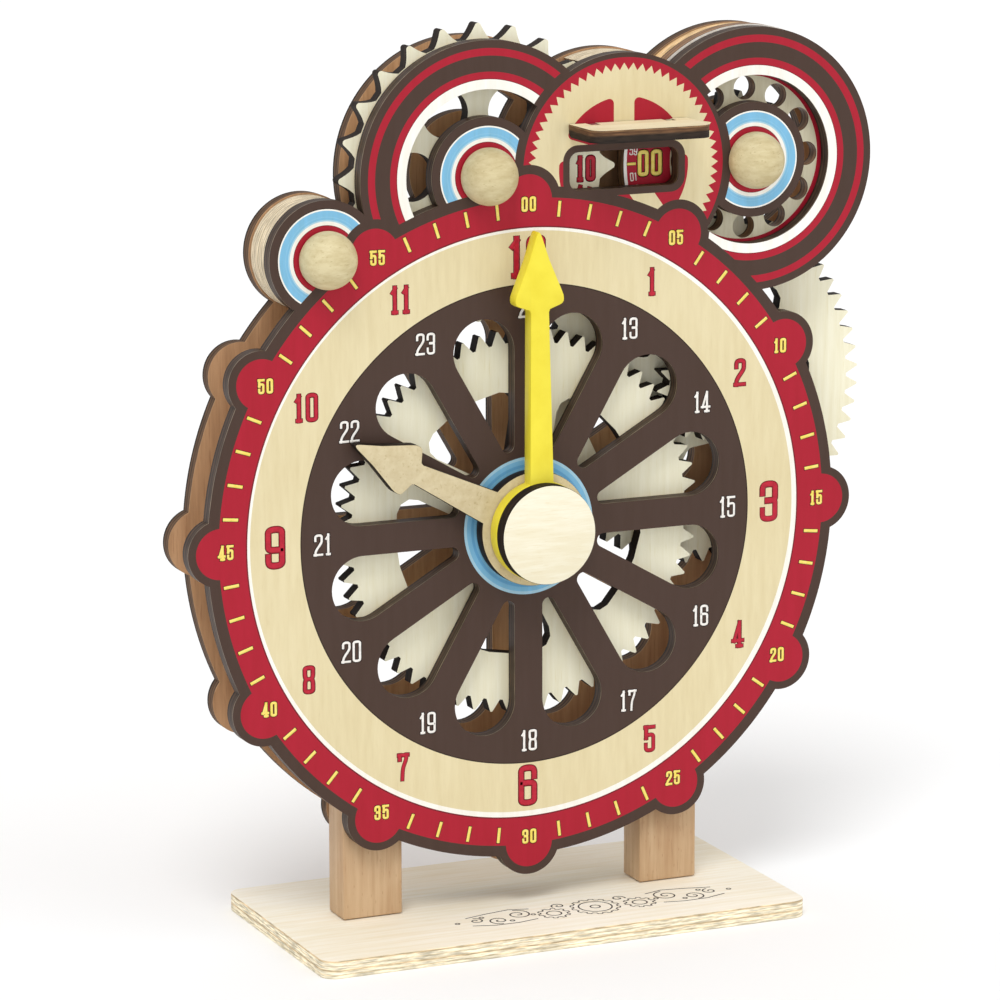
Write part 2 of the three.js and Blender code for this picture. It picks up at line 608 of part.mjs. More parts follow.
const minuteHand = place(centre, "minute_hand", hand(MINUTE_HAND, MINUTE_HAND_Y, SHAFT_RADIUS + FIT), yellow);
minuteHand.rotation.y = -MINUTE_HAND_ANGLE;
place(centre, "hub_cap", hubCap(), pale);
place(centre, "minute_arbor_collar", collar(), beech);

// A small gear fixed to its shaft, in mesh with the transfer wheel.
const pinionBore = [circle(0, 0, SHAFT_RADIUS + FIT, BORE_SIDES)];
function minutePinion(axis, frontY) {
  const bearing = bearingTo(TRANSFER_AXIS, axis);
  const turn = meshTurn(TRANSFER_WHEEL_TURN, TEETH.transferWheel, TEETH.minutePinion, bearing);
  const thickness = LAYER_2 + GEAR_THICKNESS - frontY;
  return slab(gearOutline(TEETH.minutePinion, turn), frontY, thickness, pinionBore);
}
place(centre, "minute_pinion", minutePinion(ORIGIN, LAYER_2), pale);

const transfer = groupAt(TRANSFER_AXIS);
const transferBore = SHAFT_RADIUS + RUN;
const transferOutline = gearOutline(TEETH.transferWheel, TRANSFER_WHEEL_TURN);
const transferTurn = clockwise(TRANSFER_SPOKE_ANGLE);
const transferWheel = spokedGear(transferOutline, TRANSFER_WHEEL_RIM, transferTurn, transferBore, LAYER_2);
place(transfer, "transfer_wheel", transferWheel, pale);
const hourBearing = bearingTo(ORIGIN, TRANSFER_AXIS);
const pinionTurn = meshTurn(HOUR_WHEEL_TURN, TEETH.hourWheel, TEETH.transferPinion, hourBearing);
const pinionOutline = gearOutline(TEETH.transferPinion, pinionTurn);
const pinionThickness = LAYER_2 - FACE_GAP - LAYER_1;
const pinionHole = [circle(0, 0, transferBore, BORE_SIDES)];
place(transfer, "transfer_pinion", slab(pinionOutline, LAYER_1, pinionThickness, pinionHole), pale);

const discGroup = groupAt(DISC_AXIS);
place(discGroup, "minute_disc", holedWheel(circle(0, 0, MINUTE_DISC_RADIUS), MINUTE_DISC_HOLES), pale);
place(discGroup, "disc_pinion", minutePinion(DISC_AXIS, LAYER_1 + GEAR_THICKNESS + FACE_GAP), pale);

const starGroup = groupAt(STAR_AXIS);
const STAR_TURN = clockwise(0);
place(starGroup, "star_wheel", holedWheel(pointedWheel(STAR, STAR_TURN), STAR_HOLES), pale);

const settingGroup = groupAt(SETTING_AXIS);
const settingBearing = bearingTo(STAR_AXIS, SETTING_AXIS);
const settingTurn = meshTurn(STAR_TURN, STAR.teeth, SETTING_WHEEL.teeth, settingBearing);
const settingOutline = pointedWheel(SETTING_WHEEL, settingTurn);
place(settingGroup, "setting_wheel", slab(settingOutline, LAYER_1, GEAR_THICKNESS, pinionBore), pale);

for (const [group, name] of [[discGroup, "disc"], [starGroup, "star"], [settingGroup, "setting"]]) {
  place(group, `${name}_shaft`, shaft(KNOB_SHAFT_FRONT, SHAFT_END_Y), beech);
  place(group, `${name}_knob`, knob(), beech);
  place(group, `${name}_collar`, collar(), beech);
}

const flapGroup = groupAt({ x: FLAP_X, z: FLAP_AXIS_Z }, FLAP_AXIS_Y);
place(flapGroup, "window_flap", flap(), pale);
place(flapGroup, "flap_pin", cross(FLAP_PIN.radius, -FLAP_PIN.length / 2, FLAP_PIN.length / 2), steel);
eyeOffsets.forEach((offset, i) => {
  place(flapGroup, `flap_eye_${i + 1}`, eye(), steel).position.x = offset;
});

export default clock;
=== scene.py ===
"""A wooden geared teaching clock on a stand.

Its plywood dial is printed, its laser-cut edges are burnt, its gears are bare and its legs are beech.
"""

import json
import math

import bmesh
import bpy
from mathutils import Euler, Matrix, Vector


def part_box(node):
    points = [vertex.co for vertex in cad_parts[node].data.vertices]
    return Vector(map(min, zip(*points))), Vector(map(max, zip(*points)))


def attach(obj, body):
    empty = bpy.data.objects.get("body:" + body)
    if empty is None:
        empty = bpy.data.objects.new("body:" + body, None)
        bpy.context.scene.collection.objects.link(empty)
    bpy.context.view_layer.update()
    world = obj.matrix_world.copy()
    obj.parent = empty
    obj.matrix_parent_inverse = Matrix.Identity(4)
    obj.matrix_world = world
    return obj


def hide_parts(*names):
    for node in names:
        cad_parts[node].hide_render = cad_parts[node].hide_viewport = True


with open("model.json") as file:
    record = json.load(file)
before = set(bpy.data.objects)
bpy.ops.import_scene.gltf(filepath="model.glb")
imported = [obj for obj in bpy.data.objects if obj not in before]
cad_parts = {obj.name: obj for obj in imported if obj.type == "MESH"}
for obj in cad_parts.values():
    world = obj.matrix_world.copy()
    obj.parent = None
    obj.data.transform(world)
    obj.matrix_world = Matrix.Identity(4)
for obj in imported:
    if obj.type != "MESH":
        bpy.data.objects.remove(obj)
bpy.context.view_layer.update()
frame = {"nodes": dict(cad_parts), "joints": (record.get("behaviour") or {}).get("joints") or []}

MM = 0.001
joints = {joint["name"]: joint for joint in frame["joints"]}
front_low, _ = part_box("front_plate")

# The works are drawn in millimetres from the dial centre: x right, y back from the dial face, z up.
dial_joint = Vector(joints["minute_spin"]["pos_m"])
DIAL = Vector((dial_joint.x, front_low.y, dial_joint.z))


def axis_of(joint):
    """Where a joint's axis crosses the dial face, as (x, z) in millimetres from the dial centre."""
    place = (Vector(joints[joint]["pos_m"]) - DIAL) / MM
    return place.x, place.z


STAR_AXIS = axis_of("star_spin")
DISC_AXIS = axis_of("disc_spin")
SETTING_AXIS = axis_of("setting_spin")


def depth_of(node):
    """Front and back of a node in millimetres behind the dial face."""
    low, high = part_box(node)
    return (low.y - DIAL.y) / MM, (high.y - DIAL.y) / MM


# Sizes of the plates in millimetres.
DIAL_RADIUS = 107.0
LOBE_RADIUS, LOBE_CIRCLE = 10.5, 102.9
WHEEL_RADIUS = 41.8
COUNTER_RADIUS = 42.1
DISPLAY, DISPLAY_RADIUS = (32.6, 111.3), 35.8
SETTING_RADIUS = 18.2
DROP_INNER, DROP_OUTER, SPOKE_WIDTH = 24.6, 68.5, 9.4
RING_INNER, RING_OUTER = 18.2, 26.75
WINDOW, WINDOW_SIZE, WINDOW_CORNER = (32.75, 110.8), (37.5, 12.0), 3.0
SHAFT_HOLE = 3.4  # in a plate, where a shaft turns in it
SLEEVE_HOLE = 5.4
SHAFT_FIT = 3.25  # in a piece that sits fast on its shaft
SCREW_HOLE = 1.75
STAR_CLEARANCE = 47.5  # round the star wheel's points
LOBES = 12

# ---- Camera ----
AZIMUTH, ELEVATION, ROLL = math.radians(-23.74), math.radians(11.74), math.radians(-0.12)
CAMERA_DISTANCE = 1.469
AIM = Vector((-0.0098, -0.010, 0.1378))
towards = Vector((
    math.sin(AZIMUTH) * math.cos(ELEVATION),
    -math.cos(AZIMUTH) * math.cos(ELEVATION),
    math.sin(ELEVATION),
))
camera = bpy.data.objects.new("camera", bpy.data.cameras.new("camera"))
camera.data.sensor_width = 36.0
camera.data.lens = 169.3
camera.data.clip_end = 100.0
camera.location = AIM + towards * CAMERA_DISTANCE
camera.rotation_euler = (towards.to_track_quat("Z", "Y") @ Euler((0, 0, ROLL)).to_quaternion()).to_euler()
bpy.context.scene.collection.objects.link(camera)
bpy.context.scene.camera = camera


# ---- Materials ----
def linear(hex_colour):
    """sRGB hex value as a linear colour with alpha."""
    channels = [int(hex_colour[i:i + 2], 16) / 255 for i in (1, 3, 5)]
    low = [c / 12.92 if c <= 0.04045 else ((c + 0.055) / 1.055) ** 2.4 for c in channels]
    return (*low, 1.0)


def add_node(tree, kind, inputs=None, stops=None, output=0, **settings):
    """Adds a shader node with its settings, input values or links, and colour stops; returns one output."""
    node = tree.nodes.new("ShaderNode" + kind)
    for name, value in settings.items():
        setattr(node, name, value)
    for socket, value in (inputs or {}).items():
        if isinstance(value, bpy.types.NodeSocket):
            tree.links.new(value, node.inputs[socket])
        else:
            node.inputs[socket].default_value = value
    if stops:
        ramp = node.color_ramp
        while len(ramp.elements) < len(stops):
            ramp.elements.new(1.0)
        for element, (position, colour) in zip(ramp.elements, stops):
            element.position = position
            element.color = linear(colour)
    return node.outputs[output]


def new_material(name, roughness, gloss=0.22, **sockets):
    """A material with its shader, and its object coordinates in millimetres."""
    material = bpy.data.materials.new(name)
    material.use_nodes = True
    tree = material.node_tree
    shader = tree.nodes["Principled BSDF"]
    shader.inputs["Roughness"].default_value = roughness
    shader.inputs["Specular IOR Level"].default_value = gloss
    for socket, value in sockets.items():
        shader.inputs[socket.replace("_", " ")].default_value = value
    places = add_node(tree, "TexCoord").node.outputs
    millimetres = add_node(tree, "VectorMath", {0: places["Object"], "Scale": 1 / MM}, operation="SCALE")
    return material, tree, shader, millimetres, places["Normal"]


def over(tree, below, above, mask, **settings):
    """Lays one colour over another where the mask is 1."""
    return add_node(tree, "Mix", {0: mask, 6: below, 7: above}, output=2, data_type="RGBA", **settings)


def finish_surface(tree, shader, colour, height, strength, depth):
    """Gives a shader its colour and a relief of so many millimetres."""
    relief = add_node(tree, "Bump", {"Height": height, "Strength": strength, "Distance": depth * MM})
    tree.links.new(colour, shader.inputs["Base Color"])
    tree.links.new(relief, shader.inputs["Normal"])


def wood_grain(tree, millimetres, per_mm, light, dark, clouds=0.012):
    """Long fibres with pores and slow cloudy changes of tone.

    per_mm is how many fibres come in a millimetre along x, y and z.
    """
    stretched = add_node(tree, "VectorMath", {0: millimetres, 1: per_mm}, operation="MULTIPLY")
    fibre = add_node(tree, "TexNoise", {"Vector": stretched, "Scale": 1.0, "Detail": 5.0, "Roughness": 0.62})
    cloud = add_node(tree, "TexNoise", {"Vector": millimetres, "Scale": clouds, "Detail": 2.0})
    both = add_node(tree, "Mix", {0: 0.42, 2: fibre, 3: cloud}, data_type="FLOAT")
    tone = add_node(tree, "ValToRGB", {0: both}, stops=[(0.36, dark), (0.62, light)])
    fine = add_node(tree, "VectorMath", {0: stretched, 1: (3.1, 3.1, 3.1)}, operation="MULTIPLY")
    pore = add_node(tree, "TexNoise", {"Vector": fine, "Scale": 1.0, "Detail": 2.0})
    pores = add_node(tree, "MapRange", {0: pore, 1: 0.62, 2: 0.74, 3: 0.0, 4: 0.35})
    return over(tree, tone, linear(dark), pores, blend_type="MULTIPLY"), both


def with_edges(tree, normal, across, face, cut):
    """The face's colour where the surface faces along the sheet's thickness, the cut's colour elsewhere."""
    along = add_node(tree, "VectorMath", {0: normal, 1: across}, operation="DOT_PRODUCT", output="Value")
    size = add_node(tree, "Math", {0: along}, operation="ABSOLUTE")
    is_face = add_node(tree, "Math", {0: size, 1: 0.75}, operation="GREATER_THAN")
    return over(tree, cut, face, is_face)


def edge_layers(tree, millimetres, across, span, start, stops, uneven=0.38):
    """Cut edge of a sheet: colours from its front face to its back, uneven along the cut.

    Where start is None the colours run to and fro through plies of span millimetres.
    """
    squeezed = [0.22 + 1.9 * share for share in across]
    streaked = add_node(tree, "VectorMath", {0: millimetres, 1: squeezed}, operation="MULTIPLY")
    speckle = add_node(tree, "TexNoise", {"Vector": streaked, "Scale": 1.0, "Detail": 3.0})
    drift = add_node(tree, "TexNoise", {"Vector": millimetres, "Scale": 0.11, "Detail": 2.0})
    placed = {0: millimetres, 1: across}
    height = add_node(tree, "VectorMath", placed, operation="DOT_PRODUCT", output="Value")
    wavy = add_node(tree, "Math", {0: drift, 1: 0.5, 2: height}, operation="MULTIPLY_ADD")
    if start is None:
        layer = add_node(tree, "Math", {0: wavy, 1: span}, operation="PINGPONG")
    else:
        layer = add_node(tree, "Math", {0: wavy, 1: start + 0.25}, operation="SUBTRACT")
    share = add_node(tree, "Math", {0: layer, 1: span}, operation="DIVIDE")
    plies = add_node(tree, "ValToRGB", {0: share}, stops=stops)
    strength = {0: speckle, 1: 0.34, 2: 0.68, 3: 1.0 - uneven, 4: 1.0 + uneven}
    streaks = add_node(tree, "MapRange", strength)
    return add_node(tree, "VectorMath", {0: plies, "Scale": streaks}, operation="SCALE")


Y_SHEET, Z_SHEET = (0.0, 1.0, 0.0), (0.0, 0.0, 1.0)  # which way a sheet's thickness runs


def bare_back(tree, normal, colour):
    """Only the front of a printed sheet carries ink: its back stays bare brownish plywood."""
    along = add_node(tree, "VectorMath", {0: normal, 1: Y_SHEET}, operation="DOT_PRODUCT", output="Value")
    is_back = add_node(tree, "Math", {0: along, 1: 0.75}, operation="GREATER_THAN")
    return over(tree, colour, linear("#c3a57f"), is_back)


# Colours of a cut edge: scorched black-brown, smoked on one side, or left pale.
CHARRED = [(0.0, "#15100d"), (0.4, "#2a1e17"), (0.6, "#1c1410"), (1.0, "#33251c")]
# In the print edge the pale stop at 0.09 is a painted highlight: the light line along the front plate's cut
# edge just behind the print.
PRINT_EDGE_WITH_HIGHLIGHT = [
    (0.0, "#2f231c"), (0.05, "#33261f"), (0.09, "#a8937a"), (0.14, "#33261e"), (0.36, "#4e3b2e"),
    (0.5, "#2a1f18"), (0.7, "#523d2f"), (0.88, "#281d17"), (1.0, "#1c1410"),
]
# In the rear edge the pale stop at 0.0 is a painted highlight along the front corner of the rear plate's cut
# edge.
REAR_EDGE_WITH_HIGHLIGHT = [
    (0.0, "#c09a70"), (0.1, "#4c3728"), (0.3, "#6e523a"), (0.5, "#3d2c20"), (0.68, "#6b4f38"),
    (0.84, "#281d16"), (1.0, "#17110d"),
]
COUNTER_EDGE = [(0.0, "#5a4231"), (0.25, "#9a7553"), (0.5, "#7b5a40"), (0.75, "#94704f"), (1.0, "#2c2018")]
FLAP_EDGE = [
    (0.0, "#241c17"), (0.5, "#33281f"), (0.66, "#6e4f35"), (0.82, "#5a3e2a"), (0.93, "#8a6a49"),
    (1.0, "#4a3526"),
]
PEACH = [(0.0, "#8a6543"), (0.12, "#e3bd88"), (0.55, "#edc998"), (0.85, "#d9af78"), (1.0, "#5d4330")]
PALE_LAYERS = [
    (0.0, "#8a6c4c"), (0.16, "#bfa57f"), (0.4, "#e4d8bd"), (0.65, "#efe6d0"), (0.85, "#d9c7a2"),
    (1.0, "#a58660"),
]
SAWN = [(0.0, "#c9ab80"), (0.25, "#ecdfc0"), (0.75, "#f5ecd4"), (1.0, "#dcc8a0")]


def plywood(name, light, dark, per_mm, across=Y_SHEET, edge=CHARRED, span=1.6, start=None, roughness=0.68):
    """Birch plywood cut by laser: fine straight fibre on the faces, scorched plies on the edges."""
    material, tree, shader, millimetres, normal = new_material(name, roughness)
    face, height = wood_grain(tree, millimetres, per_mm, light, dark)
    cut = edge_layers(tree, millimetres, across, span, start, edge)
    finish_surface(tree, shader, with_edges(tree, normal, across, face, cut), height, 0.25, 0.15)
    return material


def solid_wood(name, light, dark, per_mm, fleck, fleck_colour, roughness=0.5):
    """Solid beech or maple: straight fibre and the short dark flecks of its rays."""
    material, tree, shader, millimetres, _ = new_material(name, roughness, 0.35)
    face, height = wood_grain(tree, millimetres, per_mm, light, dark, clouds=0.05)
    cells = add_node(tree, "VectorMath", {0: millimetres, 1: fleck}, operation="MULTIPLY")
    rays = add_node(tree, "TexVoronoi", {"Vector": cells, "Scale": 1.0, "Randomness": 1.0}, output="Distance")
    marks = add_node(tree, "MapRange", {0: rays, 1: 0.16, 2: 0.06, 3: 0.0, 4: 0.55})
    finish_surface(tree, shader, over(tree, face, linear(fleck_colour), marks), height, 0.2, 0.1)
    return material


RED, BROWN, BLUE, PALE_BLUE = "#b01c33", "#4b3932", "#82c3ee", "#abd8f4"
WHITE, YELLOW, DARK_RED, PRINT_WOOD = "#fdfdfb", "#f6e07a", "#7a1a26", "#e6dab4"
TRAP, RED_TRAP = "#33261f", "#7d1d2a"  # the darker line where two inks overlap


def rings(tree, distance, widths, span):
    """Printed rings: each entry is the inner radius in millimetres and the colour outside it."""
    share = add_node(tree, "Math", {0: distance, 1: span}, operation="DIVIDE")
    stops = [(radius / span, colour) for radius, colour in widths]
    ramp = add_node(tree, "ValToRGB", {0: share}, stops=stops)
    ramp.node.color_ramp.interpolation = "CONSTANT"
    return ramp


WHEEL_RINGS = [
    (0.0, RED), (10.2, RED_TRAP), (10.5, WHITE), (11.5, PALE_BLUE), (12.0, BLUE), (12.7, "#8fcbf2"),
    (13.1, BLUE), (14.9, WHITE), (15.35, TRAP), (15.65, BROWN), (26.4, WHITE), (29.65, RED_TRAP),
    (29.95, RED), (31.9, BROWN), (37.0, RED), (39.35, BROWN),
]
# In the dial rings the darker blue band from 18.6 to 19.6 mm is painted shade: the shadow of the hand bosses
# on the inner side of the blue ring.
DIAL_RINGS = [
    (0.0, BROWN), (16.9, WHITE), (17.3, BLUE), (18.6, "#6bb0e4"), (19.6, BLUE), (20.9, PALE_BLUE),
    (21.7, BROWN), (76.4, TRAP), (76.8, WHITE), (94.2, RED_TRAP), (94.55, RED),
]
WHEEL_SPAN, DIAL_SPAN = 60.0, 120.0  # radius that a list of rings is stretched over
BROWN_RADIUS, RINGS_RADIUS, RED_RADIUS, RED_LOBE_RADIUS = 76.8, 94.8, 103.5, 8.0
WOOD_RING_SHIFT, WOOD_RING_RADIUS = (-0.4, 0.4), 92.9  # the bare ring is printed a little off centre
DISPLAY_BORDER_RADIUS, DISPLAY_FIELD_RADIUS = 37.3, 34.3
GEAR = {"teeth": 64, "tip": 32.6, "tooth": 2.3, "spokes": 5, "rim": 20.2, "half_spoke": 5.5, "corner": 2.0}
FRAME_CENTRE, FRAME_HALF, FRAME_CORNER = (32.78, 0.0, 110.8), (15.97, 0.0, 3.2), 5.0
PRINT_PAST = 0.3  # how far a wheel's print runs past its rim


def printed_dial():
    """Satin ink on birch plywood: rings about the dial and the wheels, with faint fibre under the ink."""
    material, tree, shader, millimetres, normal = new_material("satin_ink_on_birch_plywood", 0.5)
    centre = DIAL / MM
    moved = add_node(tree, "VectorMath", {0: millimetres, 1: centre}, operation="SUBTRACT")
    flat = add_node(tree, "VectorMath", {0: moved, 1: (1.0, 0.0, 1.0)}, operation="MULTIPLY")
    parts = add_node(tree, "SeparateXYZ", {0: flat}).node.outputs

    def distance(axis):
        ends = {0: flat, 1: (axis[0], 0.0, axis[1])}
        return add_node(tree, "VectorMath", ends, operation="DISTANCE", output="Value")

    def within(value, limit):
        return add_node(tree, "Math", {0: value, 1: limit}, operation="LESS_THAN")

    def either(first, second):
        return add_node(tree, "Math", {0: first, 1: second}, operation="MAXIMUM")

    def turned_from(x, z, every, start=0.0):
        """Angle to the nearest of the directions that come every so many degrees clockwise from start."""
        angle = add_node(tree, "Math", {0: x, 1: z}, operation="ARCTAN2")
        shifted = add_node(tree, "Math", {0: angle, 1: math.radians(start)}, operation="SUBTRACT")
        half = math.radians(every / 2)
        return add_node(tree, "Math", {0: shifted, 1: half}, operation="PINGPONG"), half

    # The two wheels and the small setting disc.
    colour = rings(tree, distance(DISC_AXIS), WHEEL_RINGS, WHEEL_SPAN)
    for axis, radius in ((STAR_AXIS, WHEEL_RADIUS), (SETTING_AXIS, SETTING_RADIUS)):
        wheel_distance = distance(axis)
        wheel = rings(tree, wheel_distance, WHEEL_RINGS, WHEEL_SPAN)
        colour = over(tree, colour, wheel, within(wheel_distance, radius + PRINT_PAST))

    # The display disc: a printed gear with five spokes on a red field, inside a brown border.
    display_distance = distance(DISPLAY)
    display_centre = (DISPLAY[0], 0.0, DISPLAY[1])
    local = add_node(tree, "VectorMath", {0: flat, 1: display_centre}, operation="SUBTRACT")
    local_parts = add_node(tree, "SeparateXYZ", {0: local}).node.outputs
    tooth, half_tooth = turned_from(local_parts[0], local_parts[2], 360.0 / GEAR["teeth"])
    flank = {0: tooth, 1: -GEAR["tooth"] / half_tooth, 2: GEAR["tip"]}
    lift = add_node(tree, "Math", flank, operation="MULTIPLY_ADD")
    below_tooth = add_node(tree, "Math", {0: display_distance, 1: lift}, operation="SUBTRACT")
    gear = within(below_tooth, 0.0)
    spoke, _ = turned_from(local_parts[0], local_parts[2], 360.0 / GEAR["spokes"])
    sine = add_node(tree, "Math", {0: spoke}, operation="SINE")
    from_spoke = add_node(tree, "Math", {0: sine, 1: display_distance}, operation="MULTIPLY")
    # A rounded sector: how far the point is outside the sector shrunk by its corner radius.
    past_rim = add_node(tree, "Math", {0: display_distance, 1: GEAR["rim"]}, operation="SUBTRACT")
    past_spoke = add_node(tree, "Math", {0: GEAR["half_spoke"], 1: from_spoke}, operation="SUBTRACT")
    corner = add_node(tree, "CombineXYZ", {0: past_rim, 1: past_spoke})
    outside = add_node(tree, "VectorMath", {0: corner, 1: (0.0, 0.0, 0.0)}, operation="MAXIMUM")
    reach = add_node(tree, "VectorMath", {0: outside}, operation="LENGTH", output="Value")
    sector = within(reach, GEAR["corner"])
    field = over(tree, linear(RED), linear(PRINT_WOOD), gear)
    field = over(tree, field, linear(RED), sector)
    colour = over(tree, colour, linear(BROWN), within(display_distance, DISPLAY_BORDER_RADIUS))
    colour = over(tree, colour, field, within(display_distance, DISPLAY_FIELD_RADIUS))
    # Brown frame round the window, a rounded rectangle.
    from_window = add_node(tree, "VectorMath", {0: flat, 1: FRAME_CENTRE}, operation="SUBTRACT")
    folded = add_node(tree, "VectorMath", {0: from_window}, operation="ABSOLUTE")
    past = add_node(tree, "VectorMath", {0: folded, 1: FRAME_HALF}, operation="SUBTRACT")
    kept = add_node(tree, "VectorMath", {0: past, 1: (0.0, 0.0, 0.0)}, operation="MAXIMUM")
    corner_reach = add_node(tree, "VectorMath", {0: kept}, operation="LENGTH", output="Value")
    colour = over(tree, colour, linear(BROWN), within(corner_reach, FRAME_CORNER))

    # The dial: its lobes repeat every 30 degrees.
    dial_distance = add_node(tree, "VectorMath", {0: flat}, operation="LENGTH", output="Value")
    lobe_turn, _ = turned_from(parts[0], parts[2], 360.0 / LOBES)
    cosine = add_node(tree, "Math", {0: lobe_turn}, operation="COSINE")
    lobe_sine = add_node(tree, "Math", {0: lobe_turn}, operation="SINE")
    past_circle = {0: dial_distance, 1: cosine, 2: -LOBE_CIRCLE}
    forward = add_node(tree, "Math", past_circle, operation="MULTIPLY_ADD")
    sideways = add_node(tree, "Math", {0: dial_distance, 1: lobe_sine}, operation="MULTIPLY")
    lobe_place = add_node(tree, "CombineXYZ", {0: forward, 1: sideways})
    lobe_distance = add_node(tree, "VectorMath", {0: lobe_place}, operation="LENGTH", output="Value")
    border = either(within(dial_distance, DIAL_RADIUS), within(lobe_distance, LOBE_RADIUS + 0.4))
    red = either(within(dial_distance, RED_RADIUS), within(lobe_distance, RED_LOBE_RADIUS))
    colour = over(tree, colour, linear(BROWN), border)
    colour = over(tree, colour, linear(RED), red)
    dial_rings = rings(tree, dial_distance, DIAL_RINGS, DIAL_SPAN)
    colour = over(tree, colour, dial_rings, within(dial_distance, RINGS_RADIUS))
    bare = within(distance(WOOD_RING_SHIFT), WOOD_RING_RADIUS)
    outside_brown = add_node(tree, "Math", {0: dial_distance, 1: BROWN_RADIUS}, operation="GREATER_THAN")
    bare_ring = add_node(tree, "Math", {0: bare, 1: outside_brown}, operation="MULTIPLY")
    colour = over(tree, colour, linear(PRINT_WOOD), bare_ring)

    # Wood fibre shows through the ink, more on the bare wood ring.
    fibre, height = wood_grain(tree, millimetres, (0.42, 0.42, 0.05), "#f7f4ec", "#e2d9c2")
    colour = over(tree, colour, fibre, 0.55, blend_type="MULTIPLY")
    front, back = depth_of("front_plate")
    cut = edge_layers(tree, millimetres, Y_SHEET, back - front, front + DIAL.y / MM, PRINT_EDGE_WITH_HIGHLIGHT)
    colour = bare_back(tree, normal, with_edges(tree, normal, Y_SHEET, colour, cut))
    finish_surface(tree, shader, colour, height, 0.2, 0.1)
    return material


def printed_counter():
    """Ink ring printed on the minute disc: red field with a white rim line, bare plywood inside."""
    material, tree, shader, millimetres, normal = new_material("ink_ring_on_birch_plywood", 0.5)
    centre = (DISC_AXIS[0] + DIAL.x / MM, 0.0, DISC_AXIS[1] + DIAL.z / MM)
    flat = add_node(tree, "VectorMath", {0: millimetres, 1: (1.0, 0.0, 1.0)}, operation="MULTIPLY")
    distance = add_node(tree, "VectorMath", {0: flat, 1: centre}, operation="DISTANCE", output="Value")
    ring = rings(tree, distance, [(0.0, "#e9e2c6"), (26.0, RED), (40.9, WHITE)], WHEEL_SPAN)
    fibre, _ = wood_grain(tree, millimetres, (0.5, 0.5, 0.05), "#ffffff", "#d9cfb6")
    face = over(tree, ring, fibre, 0.6, blend_type="MULTIPLY")
    front, back = depth_of("minute_disc")
    cut = edge_layers(tree, millimetres, Y_SHEET, back - front, front + DIAL.y / MM, COUNTER_EDGE)
    colour = bare_back(tree, normal, with_edges(tree, normal, Y_SHEET, face, cut))
    tree.links.new(colour, shader.inputs["Base Color"])
    return material


def ink(name, colour, shade, roughness=0.4):
    """Flat printing ink, slightly uneven where it lies on the wood."""
    material, tree, shader, millimetres, _ = new_material(name, roughness)
    patch = add_node(tree, "TexNoise", {"Vector": millimetres, "Scale": 0.6, "Detail": 3.0})
    tone = add_node(tree, "ValToRGB", {0: patch}, stops=[(0.35, shade), (0.6, colour)])
    tree.links.new(tone, shader.inputs["Base Color"])
    return material


def enamel(name, colour, shade):
    """Brushed-on yellow enamel: a little uneven and gently glossy, with the sheet's fibre faintly raised."""
    material, tree, shader, millimetres, _ = new_material(name, 0.38, 0.35)
    patch = add_node(tree, "TexNoise", {"Vector": millimetres, "Scale": 0.12, "Detail": 4.0})
    tone = add_node(tree, "ValToRGB", {0: patch}, stops=[(0.3, shade), (0.65, colour)])
    fibres = add_node(tree, "VectorMath", {0: millimetres, 1: (0.9, 0.9, 0.06)}, operation="MULTIPLY")
    raised = add_node(tree, "TexNoise", {"Vector": fibres, "Scale": 1.0, "Detail": 3.0})
    finish_surface(tree, shader, tone, raised, 0.25, 0.1)
    return material


def zinc_steel():
    """Zinc-plated steel wire and screws: bright metal with fine uneven gloss."""
    material, tree, shader, millimetres, _ = new_material("zinc_plated_steel", 0.32, Metallic=1.0)
    patch = add_node(tree, "TexNoise", {"Vector": millimetres, "Scale": 1.4, "Detail": 3.0})
    tone = add_node(tree, "ValToRGB", {0: patch}, stops=[(0.3, "#a9abad"), (0.7, "#d6d7d8")])
    gloss = add_node(tree, "MapRange", {0: patch, 3: 0.22, 4: 0.42})
    tree.links.new(tone, shader.inputs["Base Color"])
    tree.links.new(gloss, shader.inputs["Roughness"])
    return material


UPRIGHT_FIBRE = (0.55, 0.55, 0.035)
LEVEL_FIBRE = (0.03, 0.5, 0.5)


def edge_of(node, axis=1):
    """Where the edge colours of a node start, and how thick it is, in millimetres along an axis."""
    low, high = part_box(node)
    return {"start": low[axis] / MM, "span": (high[axis] - low[axis]) / MM}


dial_print = printed_dial()
counter_print = printed_counter()
bare_gear = plywood("bare_birch_plywood_gears", "#f9f5dd", "#eee8c9", UPRIGHT_FIBRE)
brown_plate = plywood(
    "brown_poplar_plywood", "#caa079", "#b08763", UPRIGHT_FIBRE, edge=REAR_EDGE_WITH_HIGHLIGHT, **edge_of("rear_plate"),
)
hand_wood = plywood("tan_birch_plywood_hand", "#d6c8a4", "#c4b38c", (0.35, 0.35, 0.35))
flap_wood = plywood(
    "birch_plywood_flap", "#efe5c6", "#dccaa0", LEVEL_FIBRE, Z_SHEET, FLAP_EDGE, **edge_of("window_flap", 2),
)
cap_wood = plywood("birch_plywood_hub_cap", "#f6f2df", "#ebe2c5", (0.07, 0.5, 0.6))
pale_core = plywood(
    "unburnt_birch_plywood_ring", "#dfd2ae", "#cdb98e", UPRIGHT_FIBRE, edge=PALE_LAYERS, span=0.75,
)
pale_block = plywood(
    "smoked_birch_plywood_block", "#ddd0a6", "#cbb88a", UPRIGHT_FIBRE, edge=PEACH,
    **edge_of("crown_spacer_rear"),
)
base_wood = plywood("birch_plywood_base", "#faf4e6", "#efe3c8", LEVEL_FIBRE, Z_SHEET, SAWN, span=1.4)
beech = solid_wood("sawn_beech", "#cdaf8b", "#b8946f", (0.5, 0.5, 0.03), (1.0, 1.0, 0.22), "#a07550")
